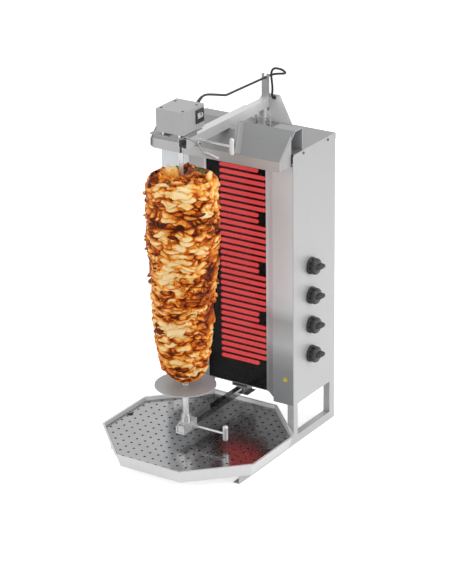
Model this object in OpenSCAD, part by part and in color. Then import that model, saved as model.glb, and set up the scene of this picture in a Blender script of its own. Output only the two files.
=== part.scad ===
// Electric doner kebab grill: a heated cabinet on a runner frame, a drip tray that slides under it,
// and a vertical spit held between a sliding lower carriage and a sliding motor head.
// X runs to the right, Y to the back and Z up. The origin is on the floor, in the middle of the outline.

/* [Overall] */
// Width of the drip tray across its flats
tray_w = 550; // [500:5:620]
// Depth from the front of the tray to the back of the cabinet
total_d = 700; // [660:5:780]
// Height from the floor to the top of the motor casing
total_h = 1120; // [1085:5:1200]
// Thickness of the sheet metal
sheet = 2; // [1.2:0.1:3]
// Clearance between parts that slide or turn
fit = 0.3; // [0.1:0.05:0.5]

/* [Cabinet] */
// Outer width of the cabinet
cab_w = 465; // [430:5:500]
// Clearance between the meat and the hood
front_gap = 70; // [60:1:78]
// How far the flat top lies below the upper arm
arm_rise = 49; // [46:1:56]
// How far the side and front sheets hang below the bottom plate
apron = 13; // [8:1:16]
// Height of the underside of the cabinet
cab_low = 131; // [122:1:140]
// Height of the runners
rail_h = 27; // [22:1:32]
// Width of the folded edges of the side sheets
flange_w = 22; // [18:1:22]
// Depth of the front posts
front_post = 24; // [18:1:32]
// Depth of the rear posts
rear_post = 31; // [22:1:40]
// Length of the runners in front of the cabinet
rail_reach = 310; // [260:5:330]
// Distance of the panel screws from the edges of the top
screw_inset = 9; // [7:1:14]

/* [Heater opening] */
// Left edge of the opening in the cabinet's front
open_left = -135; // [-150:1:-125]
// Right edge of the opening in the cabinet's front
open_right = 160; // [150:1:175]
// Depth of the slanted wings beside the glass
wing_d = 30; // [22:1:36]
// Width of the slanted wings
wing_w = 36; // [28:1:42]
// Width of the lips that hold the glass
wing_lip = 6; // [4:1:10]
// Thickness of the glass
glass_t = 4; // [3:0.5:6]
// Depth of the heater box behind the glass
box_d = 62; // [50:1:80]

/* [Heating zones] */
// Number of glowing bars in a zone
bars = 8; // [4:1:8]
// Distance of the highest bar's middle from the underside of the hood
bar_start = 58; // [40:1:70]
// Distance of the lowest bar's middle from the bottom plate
bar_end = 69.8; // [50:0.2:90]
// Height of a bar
bar_h = 11; // [8:0.5:13]
// Thickness of a bar
bar_t = 4; // [3:0.5:6]
// Length of a long bar
bar_l = 164; // [140:1:172]
// How much shorter the first and last bar of a zone are
bar_short = 27; // [0:1:40]

/* [Hood] */
// How far the hood reaches in front of the cabinet
hood_reach = 63; // [50:1:75]
// Height of the hood's front edge
fascia_h = 31; // [24:1:36]
// How far the top of the front edge lies below the flat top
fascia_drop = 5; // [2:1:9]
// Depth of the slanted part of the hood
slope_d = 86; // [76:1:90]
// Rise of the slanted part of the hood
slope_rise = 72; // [60:1:78]
// Depth of the flat lip behind the slope
lip_d = 39; // [30:1:45]
// Width of each rear leg of the hood
leg_w = 76; // [50:1:90]
// Width of the slots beside the middle panel
slot_w = 14; // [8:1:18]
// Height of the folded ribs on the slope
rib_h = 9; // [5:1:12]

/* [Spit] */
// Distance of the spit's axis behind the front of the tray
spit_front = 214; // [200:1:226]
// Diameter of the lower part of the spit
spit_low_dia = 20; // [17:0.5:24]
// Diameter of the upper part of the spit
spit_top_dia = 14; // [12.5:0.5:16]
// Clearance between the spit's upper end and the height of the upper arm's underside
spit_gap = 8; // [2:1:16]
// Diameter of the disc under the meat
disc_dia = 186; // [170:2:210]
// Thickness of the disc
disc_t = 3; // [2:0.5:5]
// Height of the top of the disc
disc_top = 245; // [235:1:255]
// Greatest diameter of the meat
meat_dia = 216; // [200:2:236]
// Clearance between the meat and the height of the upper arm's underside
meat_gap = 57; // [50:1:90]

/* [Arms] */
// Outer width of the upper arm's square tube
arm_w = 30; // [27:1:34]
// Wall of the square tubes
arm_wall = 2; // [1.5:0.25:3]
// Height of the motor plate above the upper arm
cheek_h = 20; // [16:1:24]
// Clearance between the upper arm's rear end and its post
arm_clear = 67.5; // [54:0.5:90]
// Distance of the upper arm's front end behind the spit's axis
arm_front = 10; // [8:1:20]
// Diameter of the arm's rear post
post_dia = 25; // [20:1:30]
// Outer width of the lower guide tube
guide_w = 20; // [18:1:24]
// Height of the top of the lower guide tube
guide_top = 118; // [114:1:122]
// Length of the clamp handles' rods
clamp_rod = 106; // [90:1:115]
// Diameter of the clamp handles' grips
grip_dia = 16; // [12:1:20]
// Length of the clamp handles' grips
grip_l = 50; // [40:1:54]

/* [Motor head] */
// Width of the motor casing
motor_w = 94; // [88:1:104]
// Depth of the motor casing
motor_d = 108; // [100:1:120]
// Height of the motor casing with its lid
motor_h = 70; // [64:1:74]
// Height of the spacers under the motor casing
spacer_h = 10; // [7:1:13]
// Diameter of the drive shaft
shaft_dia = 8; // [6:0.5:9]

/* [Tray] */
// Height of the tray's rim above its floor
tray_h = 42.5; // [40:0.5:48]
// How far the walls lean inwards at the bottom
tray_lean = 17; // [12:1:22]
// Width of the rolled rim
rim_w = 5; // [3:0.5:8]
// Height of the perforated plate above the floor of the room
plate_top = 59; // [57:0.5:62]
// Distance between the holes of the plate
hole_pitch = 29.46; // [29:0.02:29.6]
// Diameter of the holes
hole_dia = 8; // [5:0.5:12]
// Holes in a full row of the plate
hole_row = 18; // [10:2:18]
// Diameter of the finger holes
finger_dia = 20; // [14:1:24]

/* [Controls] */
// Distance between the knobs
knob_pitch = 96.1; // [80:0.1:100]
// Height of the highest knob
knob_top = 558; // [540:1:575]
// Diameter of a knob's skirt
knob_dia = 54; // [44:1:60]
// How far a knob stands out
knob_h = 41; // [34:1:42]
// Diameter of a regulator's shaft
regulator_shaft = 6; // [5:0.5:8]

/* [Hidden] */
$fn = 48;

// One overrun serves all cuts
cut = 1;
steel = "#b9bbbd";
dark_steel = "#7d7f82";
black = "#1b1b1c";

// Heights from the top down
plate_t = 4;
plate_low = total_h - motor_h - spacer_h - plate_t;
arm_top = plate_low - cheek_h;
arm_low = arm_top - arm_w;
arm_mid = arm_low + arm_w / 2;
cab_top = arm_low - arm_rise;
fascia_top = cab_top - fascia_drop;
spit_top = arm_low - spit_gap;

// Places of the cabinet
cab_d = total_d - spit_front - meat_dia / 2 - front_gap - hood_reach;
front_y = -total_d / 2;
back_y = total_d / 2;
cab_x = cab_w / 2;
cab_y = back_y - cab_d;
inner_x = cab_x - sheet;
glass_y = cab_y + wing_d + sheet;
wing_left = open_left + wing_w;
wing_right = open_right - wing_w;
bottom_z = cab_low + apron;
floor_z = bottom_z + sheet;
soffit = fascia_top - fascia_h;
side_back = back_y - sheet;
rail_front = cab_y - rail_reach;
corner = 6;

// Places of the hood
hood_y = cab_y - hood_reach;
slope_top = fascia_top + slope_rise;
slope_back = hood_y + slope_d;
lip_back = slope_back + lip_d;
slope_angle = atan2(slope_rise, slope_d);
slope_l = sqrt(slope_rise * slope_rise + slope_d * slope_d);

// Places of the tray and the spit
tray_y = front_y + tray_w / 2;
tray_low = rail_h;
tray_rim = tray_low + tray_h;
spit_y = front_y + spit_front;

// Places of the arms
post_inset = 38;
clamp_back = 76;
guide_low = guide_top - guide_w;
guide_mid = guide_top - guide_w / 2;
inner_w = arm_w - 2 * arm_wall - 2 * fit;
post_y = back_y - post_inset;
arm_back = post_y - post_dia / 2 - arm_clear;
clamp_y = spit_y + clamp_back;
lower_clamp_y = spit_y + guide_w;

// Places of the motor head
lid_head = 1.5;
motor_low = total_h - motor_h;
motor_x = motor_w / 2;
motor_y = spit_y - motor_d / 2;
motor_back = motor_y + motor_d;
lid_low = total_h - lid_head - sheet;

// A flat sheet in the YZ plane, its outer face at x
module sheet_yz(points, x) {
    translate([x - sheet, 0, 0]) rotate([90, 0, 90]) linear_extrude(sheet) polygon(points);
}

// A block given by its lowest and highest corners
module block(low, high) {
    translate(low) cube(high - low);
}

// A round bar along X, Y or Z from a starting point
module bar_x(at, l, d) { translate(at) rotate([0, 90, 0]) cylinder(h = l, d = d); }
module bar_y(at, l, d) { translate(at) rotate([-90, 0, 0]) cylinder(h = l, d = d); }
module bar_z(at, l, d) { translate(at) cylinder(h = l, d = d); }

// Small sizes that several pieces share
run_fit = 0.05;
screw_d = 4;
screw_head = 8;
screw_head_h = 2;
screw_gap = 0.2;
regulator_depth = 42;
regulator_size = 44;
knob_gap = 0.5;
knob_xs = cab_x + knob_gap;
knob_share = 0.412245;
knob_y = cab_y + knob_share * cab_d;
stem_l = 14;
rear_flange = 20;
top_flange = 18;
screw_shares = [0.237, 0.812];
screw_ys = [for (s = screw_shares) cab_y + s * cab_d];
lamp_side = 29;
lamp_rise = 82;
lamp_x = cab_x - lamp_side;
lamp_z = cab_low + lamp_rise;
lamp_d = 12;

// Outline of a square with rounded corners, lying in the XY plane
module rounded_square(size, r) {
    union() {
        translate([r, 0]) square([size.x - 2 * r, size.y]);
        translate([0, r]) square([size.x, size.y - 2 * r]);
        for (x = [r, size.x - r], y = [r, size.y - r]) translate([x, y]) circle(r = r);
    }
}

// Side sheet with its window, folded edges and runner; holed for the controls on the right
module side_frame(controls) {
    outline = [[rail_front, 0], [side_back, 0], [side_back, cab_top], [cab_y + corner, cab_top],
        [cab_y, cab_top - corner], [cab_y, rail_h], [rail_front, rail_h]];
    fold_x = cab_x - flange_w;
    post_in = cab_y + front_post;
    rear_in = back_y - rear_post;
    difference() {
        union() {
            sheet_yz(outline, cab_x);
            block([fold_x, rail_front, rail_h - sheet], [cab_x, side_back, rail_h]);
            block([fold_x, rail_front, 0], [cab_x, side_back, sheet]);
            block([fold_x, cab_y, rail_h - sheet], [cab_x, cab_y + sheet, cab_low]);
            block([fold_x, rear_in, rail_h - sheet], [cab_x, rear_in + sheet, cab_low]);
            block([fold_x, side_back - sheet, rail_h - sheet], [cab_x, side_back, cab_low]);
        }
        block([cab_x - sheet - cut, post_in, rail_h], [cab_x + cut, rear_in, cab_low]);
        for (y = screw_ys) bar_x([inner_x - cut, y, cab_top - screw_inset], sheet + 2 * cut, screw_d + 2 * screw_gap);
        if (controls)
            for (i = [0 : 3])
                bar_x([inner_x - cut, knob_y, knob_top - i * knob_pitch], sheet + 2 * cut, 2 * regulator_shaft);
    }
}
module side_frame_right() { color(steel) side_frame(true); }
module side_frame_left() { color(steel) mirror([1, 0, 0]) side_frame(false); }

// Front sheet beside the glass: flat panel, slanted wing and lip, as one folded profile
module folded_front(outer, edge, wing, lip) {
    wing_y = cab_y + wing_d;
    union() {
        translate([0, 0, bottom_z]) linear_extrude(soffit - bottom_z)
            polygon([[outer, cab_y], [edge, cab_y], [wing, wing_y], [lip, wing_y],
                [lip, wing_y + sheet], [wing, wing_y + sheet], [edge, cab_y + sheet], [outer, cab_y + sheet]]);
        block([min(outer, edge), cab_y, cab_low], [max(outer, edge), cab_y + sheet, bottom_z]);
    }
}
module front_panel_right() {
    color(steel) difference() {
        folded_front(inner_x, open_right, wing_right, wing_right - wing_lip);
        bar_y([lamp_x, cab_y - cut, lamp_z], sheet + 2 * cut, lamp_d + 2 * screw_gap);
    }
}
module front_panel_left() {
    color(steel) folded_front(-inner_x, open_left, wing_left, wing_left + wing_lip);
}

// Bottom of the cabinet, cut back to the glass, with the hole of the mains gland
gland_d = 20;
gland_side = 70;
gland_share = 0.245;
gland_x = -cab_x + gland_side;
gland_y = back_y - gland_share * cab_d;
module bottom_plate() {
    color(steel) difference() {
        translate([0, 0, bottom_z]) linear_extrude(sheet)
            polygon([[-inner_x, cab_y + sheet], [open_left, cab_y + sheet], [wing_left, glass_y], [wing_right, glass_y],
                [open_right, cab_y + sheet], [inner_x, cab_y + sheet],
                [inner_x, side_back - sheet], [-inner_x, side_back - sheet]]);
        bar_z([gland_x, gland_y, bottom_z - cut], sheet + 2 * cut, gland_d);
    }
}

// Flat top with its rear flange and the folds that the side screws hold
module top_cover() {
    color(steel) difference() {
        union() {
            block([-inner_x, cab_y + corner, cab_top - sheet], [inner_x, back_y, cab_top]);
            block([-cab_x, side_back, cab_top - rear_flange], [cab_x, back_y, cab_top]);
            for (s = [-1, 1])
                translate([s * (inner_x - sheet / 2), (cab_y + side_back) / 2 + corner, cab_top - top_flange / 2])
                    cube([sheet, side_back - cab_y - 4 * corner, top_flange], center = true);
        }
        for (y = screw_ys)
            bar_x([-cab_x - cut, y, cab_top - screw_inset], cab_w + 2 * cut, screw_d + 2 * screw_gap);
    }
}

// Back of the cabinet with two fields of vent slots
slot_l = 70;
slot_h = 5;
slot_pitch = 18;
slots = 8;
vent_shares = [0.1, 0.68];
module back_panel() {
    color(steel) difference() {
        block([-inner_x, side_back - sheet, cab_low], [inner_x, side_back, cab_top - sheet]);
        for (side = [-1, 1], level = vent_shares, i = [0 : slots - 1])
            translate([side * slot_l, side_back - sheet / 2,
                floor_z + level * (cab_top - floor_z) + i * slot_pitch])
                cube([slot_l, sheet + 2 * cut, slot_h], center = true);
    }
}

// Hood: front edge, slanted plate with its slotted middle panel and ribs, end lips and rear legs
hood_inset = 6;
hood_x = cab_x - hood_inset;
hood_corner = 9;
rib_w = 15;
rib_low = 80;
rib_high = 42;
notch_share = 0.72;
slot_share = 0.08;
fold_share = 0.7;
function rib_x(v) = rib_low + (rib_high - rib_low) * v / slope_l;
module hood_slope() {
    notch_v = slope_l * notch_share;
    slot_v = slope_l * slot_share;
    half = rib_w / 2;
    difference() {
        translate([-hood_x, 0, -sheet]) cube([2 * hood_x, slope_l, sheet]);
        translate([0, 0, -sheet - cut]) linear_extrude(sheet + 2 * cut) {
            polygon([[-rib_x(notch_v) + half, notch_v], [rib_x(notch_v) - half, notch_v],
                [rib_high - half, slope_l + cut], [-rib_high + half, slope_l + cut]]);
            for (s = [-1, 1])
                polygon([[s * (rib_x(slot_v) - half), slot_v], [s * (rib_high - half), slope_l + cut],
                    [s * (rib_high - half - slot_w), slope_l + cut], [s * (rib_x(slot_v) - half - slot_w), slot_v]]);
        }
    }
    tilt = atan2(rib_low - rib_high, slope_l);
    for (s = [0, 1])
        mirror([s, 0, 0]) translate([rib_low, 0, 0]) rotate([0, 0, tilt]) rotate([-90, 0, 0])
            linear_extrude(slope_l)
                polygon([[-half, 0], [half, 0], [0, -rib_h * fold_share], [-half + sheet, -rib_h], [-half, -rib_h]]);
}
module hood() {
    color(steel) {
        union() {
            translate([-hood_x, hood_y + sheet, soffit]) rotate([90, 0, 0])
                linear_extrude(sheet) rounded_square([2 * hood_x, fascia_h], hood_corner);
            block([-hood_x, hood_y, soffit + hood_corner], [hood_x, hood_y + sheet, fascia_top]);
            block([-hood_x + hood_corner, hood_y, soffit],
                [hood_x - hood_corner, cab_y + wing_d + sheet, soffit + sheet]);
            translate([0, hood_y, fascia_top]) rotate([slope_angle, 0, 0]) hood_slope();
            for (s = [0, 1]) mirror([s, 0, 0]) {
                block([hood_x - leg_w, slope_back - sheet, slope_top - sheet], [hood_x, lip_back, slope_top]);
                block([hood_x - leg_w, lip_back - sheet, cab_top], [hood_x, lip_back, slope_top]);
            }
        }
    }
}

// Heater box behind the glass, open to the front
box_y = glass_y + glass_t;
box_back = box_y + box_d;
module heater_box() {
    color(dark_steel) difference() {
        block([wing_left, box_y, floor_z], [wing_right, box_back, soffit]);
        block([wing_left + sheet, box_y - cut, floor_z + sheet], [wing_right - sheet, box_back - sheet, soffit - sheet]);
    }
}
module heater_glass() {
    color("#20242880") block([wing_left, glass_y, floor_z], [wing_right, glass_y + glass_t, soffit]);
}

// Ceramic board that carries the bars
board_gap = 24;
board_y = box_y + board_gap;
module heating_board() {
    color("#2a2a2c") block([wing_left + sheet, board_y, floor_z + sheet],
        [wing_right - sheet, box_back - sheet, soffit - sheet]);
}

// Glowing bars of one zone: round-ended ribbons, the first and last shorter
zones = 4;
pitch_share = 0.12554;
bar_shift = 7;
bar_top = soffit - bar_start;
zone_pitch = (bar_top - floor_z - bar_end) / (zones - 1 + (bars - 1) * pitch_share);
bar_pitch = zone_pitch * pitch_share;
bar_left = (wing_left + wing_right) / 2 + bar_shift - bar_l / 2;
module zone_bars(k) {
    color("#e2402c")
        for (i = [0 : bars - 1]) {
            length = bar_l - (i == 0 || i == bars - 1 ? bar_short : 0);
            z = bar_top - (k - 1) * zone_pitch - i * bar_pitch;
            r = bar_h / 2;
            translate([bar_left, board_y, z - r]) rotate([90, 0, 0]) linear_extrude(bar_t) union() {
                translate([r, 0]) square([length - 2 * r, bar_h]);
                for (x = [r, length - r]) translate([x, r]) circle(r = r);
            }
        }
}
module heating_bars_1() { zone_bars(1); }
module heating_bars_2() { zone_bars(2); }
module heating_bars_3() { zone_bars(3); }
module heating_bars_4() { zone_bars(4); }

// Energy regulator behind a knob, with the collar that its stem turns in
module regulator(k) {
    z = knob_top - (k - 1) * knob_pitch;
    color("#d8d4c8") difference() {
        union() {
            translate([inner_x - regulator_depth / 2, knob_y, z])
                cube([regulator_depth, regulator_size, regulator_size], center = true);
            bar_x([inner_x - sheet, knob_y, z], sheet + sheet, 2 * regulator_shaft - 2 * fit);
        }
        bar_x([cab_x - sheet - stem_l, knob_y, z], stem_l + 2 * sheet, regulator_shaft + 2 * run_fit);
    }
}
module regulator_1() { regulator(1); }
module regulator_2() { regulator(2); }
module regulator_3() { regulator(3); }
module regulator_4() { regulator(4); }

// Terminal block on the cabinet's floor
terminal_l = 80;
terminal_w = 22;
terminal_h = 20;
terminal_n = 5;
module terminal_block() {
    step = terminal_l / terminal_n;
    color("#e9e6dc") difference() {
        translate([gland_x - terminal_l / 2, gland_y - 3 * terminal_w, floor_z])
            cube([terminal_l, terminal_w, terminal_h]);
        for (i = [0 : terminal_n - 1])
            bar_z([gland_x - terminal_l / 2 + (i + 0.5) * step, gland_y - 2.5 * terminal_w, floor_z + terminal_h / 2],
                terminal_h, step / 2);
    }
}

// Yellow lamp in the right front panel
lamp_bezel = 15;
module indicator_lamp() {
    color("#d9b928") {
        union() {
            bar_y([lamp_x, cab_y - sheet, lamp_z], sheet, lamp_bezel);
            bar_y([lamp_x, cab_y - sheet, lamp_z], 2 * lamp_d, lamp_d);
            bar_y([lamp_x, cab_y - 2 * sheet, lamp_z], 2 * sheet, lamp_d - sheet);
        }
    }
}

// Gland of the mains lead under the cabinet
gland_h = 27;
nut_h = 7;
nut_share = 1.3;
module mains_gland() {
    color(black) difference() {
        union() {
            translate([gland_x, gland_y, bottom_z - nut_h]) cylinder(h = nut_h, d = nut_share * gland_d, $fn = 6);
            bar_z([gland_x, gland_y, bottom_z - gland_h], gland_h, gland_d);
            bar_z([gland_x, gland_y, bottom_z - gland_h], gland_h + 3 * sheet, gland_d - 2 * fit);
        }
        bar_z([gland_x, gland_y, bottom_z - gland_h - cut], 2 * gland_h + 2 * cut, gland_d / 2);
    }
}

// Screws that hold the top to the side sheets
module panel_screws() {
    color("#8d8f91")
        for (s = [0, 1], y = screw_ys)
            mirror([s, 0, 0]) union() {
                bar_x([cab_x, y, cab_top - screw_inset], screw_head_h, screw_head);
                bar_x([cab_x - 4 * sheet, y, cab_top - screw_inset], 4 * sheet + screw_head_h, screw_d);
            }
}

// Upright plate on the rear edge of the top that closes the arm's guide
back_plate_t = 3;
back_plate_base = 84;
back_plate_left = 18;
back_plate_right = 40;
back_plate_over = 8;
back_plate_top = arm_top + back_plate_over;
guide_inset = 25;
guide_end = back_y - guide_inset;
module arm_back_plate() {
    color(steel) translate([0, back_y - sheet, 0]) rotate([90, 0, 0])
        linear_extrude(back_plate_t) polygon([[-back_plate_base, cab_top], [back_plate_base, cab_top],
            [back_plate_right, back_plate_top], [-back_plate_left, back_plate_top]]);
}

// Post under the rear end of the guide, with its clamping ring and two bolts
ring_h = 12;
ring_d = 36;
ring_rise = 13;
ring_z = cab_top + ring_rise;
post_bolt = 7;
post_bolt_h = 26;
module arm_post() {
    color(steel) union() {
        bar_z([0, post_y, cab_top], arm_mid - inner_w / 2 - cab_top, post_dia);
        bar_z([0, post_y, ring_z], ring_h, ring_d);
        bar_z([0, post_y, cab_top], sheet, ring_d);
        for (s = [-1, 1]) bar_z([s * (ring_d / 2 + post_bolt), post_y, cab_top], post_bolt_h, post_bolt);
        translate([-ring_d / 2 - post_bolt, post_y - post_bolt, ring_z])
            cube([ring_d + 2 * post_bolt, 2 * post_bolt, ring_h]);
    }
}

// Fixed inner tube that the upper arm slides on
guide_front = clamp_y - grip_dia;
module upper_guide_tube() {
    wall = inner_w - 2 * arm_wall;
    color("#c9cbcc") difference() {
        translate([-inner_w / 2, guide_front, arm_mid - inner_w / 2]) cube([inner_w, guide_end - guide_front, inner_w]);
        translate([-wall / 2, guide_front - cut, arm_mid - wall / 2])
            cube([wall, guide_end - guide_front + 2 * cut, wall]);
    }
}

// Flat post on the guide's rear end, with a notch that carries the motor's cord
fork_drop = 10;
fork_rise = 74.2;
fork_low = arm_low - fork_drop;
fork_notch = arm_mid + fork_rise;
fork_prong = 16;
fork_gap = 10;
module cord_fork() {
    color(steel) translate([0, guide_end + 2 * sheet, 0]) rotate([90, 0, 0]) linear_extrude(2 * sheet) difference() {
        translate([-inner_w / 2, fork_low]) square([inner_w, fork_notch + fork_prong - fork_low]);
        translate([0, fork_notch + fork_gap / 2]) circle(d = fork_gap);
        translate([-fork_gap / 2, fork_notch + fork_gap / 2]) square([fork_gap, fork_prong]);
    }
}

// Fixed lower guide tube and the bracket that hangs it under the cabinet
guide_reach = 30;
guide_tail = 25;
bracket_inset = 60;
bracket_d = 50;
bracket_y = cab_y + bracket_inset;
lower_guide_front = spit_y - guide_reach;
lower_guide_back = bracket_y + bracket_d + guide_tail;
bracket_x = 28;
bracket_t = 3;
module lower_guide_tube() {
    bore = guide_w - 2 * arm_wall;
    length = lower_guide_back - lower_guide_front;
    color("#c9cbcc") difference() {
        translate([-guide_w / 2, lower_guide_front, guide_low]) cube([guide_w, length, guide_w]);
        translate([-bore / 2, lower_guide_front - cut, guide_low + arm_wall]) cube([bore, length + 2 * cut, bore]);
    }
}
module lower_guide_bracket() {
    color(steel) difference() {
        block([-bracket_x, bracket_y, guide_low - bracket_t], [bracket_x, bracket_y + bracket_d, bottom_z]);
        block([-bracket_x + bracket_t, bracket_y - cut, guide_top + bracket_t],
            [bracket_x - bracket_t, bracket_y + bracket_d + cut, bottom_z - bracket_t]);
        translate([-guide_w / 2, bracket_y - cut, guide_low]) cube([guide_w, bracket_d + 2 * cut, guide_w]);
        for (s = [-1, 1])
            translate([s * (bracket_x + guide_w / 2 + bracket_t) / 2, bracket_y + bracket_d / 2, guide_mid - cut])
                cube([bracket_x - guide_w / 2 - bracket_t, bracket_d + 2 * cut, guide_w + 2 * cut], center = true);
    }
}

// Eight-sided solids of revolution, flats to the front
module octagon(profile) {
    rotate([0, 0, 22.5]) rotate_extrude($fn = 8)
        polygon([for (p = profile) [p.x / cos(22.5), p.y]]);
}

// Pan with leaning walls and a flat rim
tray_t = 1.5;
tray_in = tray_w / 2 - tray_lean;
tray_wall_top = tray_w / 2 - rim_w;
module drip_tray() {
    color("#c4c6c8") translate([0, tray_y, 0]) octagon([[0, tray_low], [tray_in, tray_low],
        [tray_wall_top, tray_rim - tray_t], [tray_w / 2, tray_rim - tray_t], [tray_w / 2, tray_rim],
        [tray_wall_top - tray_t, tray_rim], [tray_in - tray_t, tray_low + tray_t], [0, tray_low + tray_t]]);
}

// Perforated plate with folded feet inside the pan
plate_inset = 11;
plate_edge = tray_w / 2 - plate_inset;
foot_reach = 100;
foot_y = plate_edge - rim_w - tray_t;
row_low = 8;
finger_share = 0.7;
mid_hole = (hole_row - 1) / 2;
function hole_count(j) = min(hole_row, row_low + 2 * min(j, hole_row - 1 - j));
module perforated_plate() {
    color("#c4c6c8") translate([0, tray_y, 0]) {
        translate([0, 0, plate_top - tray_t]) linear_extrude(tray_t) difference() {
            rotate([0, 0, 22.5]) circle(r = plate_edge / cos(22.5), $fn = 8);
            for (j = [0 : hole_row - 1], i = [0 : hole_count(j) - 1])
                translate([(i - (hole_count(j) - 1) / 2) * hole_pitch, (j - mid_hole) * hole_pitch])
                    circle(d = hole_dia);
            for (s = [-1, 1]) translate([s * (plate_edge - finger_share * finger_dia), 0]) circle(d = finger_dia);
        }
        for (a = [0, 180]) rotate([0, 0, a])
            translate([-foot_reach, foot_y - rim_w, tray_low + tray_t])
                cube([2 * foot_reach, tray_t, plate_top - 2 * tray_t - tray_low]);
    }
}

// Upper arm: square tube with the bosses of the clamp and the release lever on its right side
arm_x = arm_w / 2;
arm_start = spit_y + arm_front;
boss_d = 15;
boss_l = 9;
rod_d = 8;
clamp_drop = 7;
lever_lead = 19;
lever_drop = 4;
clamp_z = arm_mid - clamp_drop;
lever_y = clamp_y - lever_lead;
lever_z = arm_mid - lever_drop;
lever_pin = 6;
module upper_arm_tube() {
    inner = arm_w - 2 * arm_wall;
    color("#c9cbcc") difference() {
        union() {
            block([-arm_x, arm_start, arm_low], [arm_x, arm_back, arm_top]);
            bar_x([arm_x, clamp_y, clamp_z], boss_l, boss_d);
            bar_x([arm_x, lever_y, lever_z], boss_l, lever_pin);
            bar_x([arm_x + boss_l - sheet, lever_y, lever_z], sheet, 2 * lever_pin);
        }
        translate([-inner / 2, arm_start - cut, arm_mid - inner / 2]) cube([inner, arm_back - arm_start + 2 * cut, inner]);
        bar_x([arm_x - arm_wall - cut, clamp_y, clamp_z], arm_wall + boss_l + 2 * cut, rod_d + 2 * run_fit);
    }
}

// Plate that carries the motor, open to the front round the shaft, on two cheeks that stand on the arm
plate_over = 24;
plate_short = 13;
plate_inset_y = 3;
plate_gap = 12;
cheek_inset = 4;
plate_left = motor_x + plate_over;
plate_right = motor_x - plate_short;
plate_front = motor_y + plate_inset_y;
plate_back = clamp_y - plate_gap;
cheek_y = arm_start + cheek_inset;
cheek_t = 3;
slot_left = 9;
slot_right = 22;
module motor_plate() {
    color(steel) union() {
        translate([0, 0, plate_low]) linear_extrude(plate_t) difference() {
            polygon([[-plate_left, plate_front], [plate_right, plate_front], [plate_right, plate_back],
                [-plate_right, plate_back], [-plate_left, motor_y + motor_w / 2]]);
            polygon([[-slot_left, plate_front - cut], [slot_right, plate_front - cut],
                [slot_right, arm_start], [-slot_left, arm_start]]);
        }
        for (s = [-1, 1])
            translate([s * (arm_x - cheek_t / 2), (cheek_y + plate_back) / 2, (arm_top + plate_low) / 2])
                cube([cheek_t, plate_back - cheek_y, plate_low - arm_top], center = true);
    }
}
spacer_x = 28;
spacer_d = 7;
module motor_spacers() {
    color("#d9dadb")
        for (s = [-1, 1], y = [motor_y + spacer_d + fit, motor_back - 2 * spacer_d])
            bar_z([s * spacer_x, y, motor_low - spacer_h], spacer_h, spacer_d);
}

// Casing of the motor, holed for the shaft, the switch and the cord
switch_inset = 24;
switch_drop = 32;
switch_y = motor_back - switch_inset;
switch_z = total_h - switch_drop;
switch_w = 40;
switch_h = 40;
switch_body_w = 34;
switch_body_h = 30;
cord_x = 5;
cord_drop = 26;
cord_z = total_h - cord_drop;
cord_dia = 7;
casing_t = 1.5;
module motor_casing() {
    color("#b4b6b8") difference() {
        block([-motor_x, motor_y, motor_low], [motor_x, motor_back, lid_low]);
        block([-motor_x + casing_t, motor_y + casing_t, motor_low + casing_t],
            [motor_x - casing_t, motor_back - casing_t, total_h]);
        bar_z([0, spit_y, motor_low - cut], casing_t + 2 * cut, 2 * shaft_dia);
        translate([motor_x, switch_y, switch_z]) cube([4 * casing_t, switch_body_w, switch_body_h], center = true);
        bar_y([cord_x, motor_back - casing_t - cut, cord_z], casing_t + 2 * cut, 2 * cord_dia);
    }
}

// Lid with its folded edges inside the casing
lid_fold = 12;
lid_screw_x = 37;
lid_screw_front = 40;
lid_screw_back = 31;
lid_screw_ys = [spit_y - lid_screw_front, spit_y + lid_screw_back];
module motor_lid() {
    color("#b9bbbd") difference() {
        union() {
            block([-motor_x, motor_y, lid_low], [motor_x, motor_back, lid_low + sheet]);
            for (y = [motor_y + casing_t + fit, motor_back - 2 * casing_t - fit])
                translate([-lid_screw_x, y, lid_low - lid_fold]) cube([2 * lid_screw_x, casing_t, lid_fold]);
        }
        for (s = [-1, 1], y = lid_screw_ys)
            bar_z([s * lid_screw_x, y, lid_low - cut], sheet + 2 * cut, screw_d + 2 * screw_gap);
    }
}
module lid_screws() {
    color("#8d8f91")
        for (s = [-1, 1], y = lid_screw_ys) union() {
            bar_z([s * lid_screw_x, y, lid_low + sheet], lid_head, screw_head);
            bar_z([s * lid_screw_x, y, lid_low - 2 * sheet], 3 * sheet + lid_head, screw_d);
        }
}

// Gearbox and motor inside the casing
gear_size = 50;
gear_h = 26;
gear_low = motor_low + casing_t;
drive_dia = 42;
drive_h = 28;
module gearbox() {
    color("#9a9c9e") difference() {
        translate([-gear_size / 2, spit_y - gear_size / 2, gear_low]) cube([gear_size, gear_size, gear_h]);
        bar_z([0, spit_y, gear_low - cut], gear_h, shaft_dia + 2 * run_fit);
    }
}
module drive_motor() {
    color("#5f6164") bar_z([0, spit_y, gear_low + gear_h], drive_h, drive_dia);
}

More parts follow.
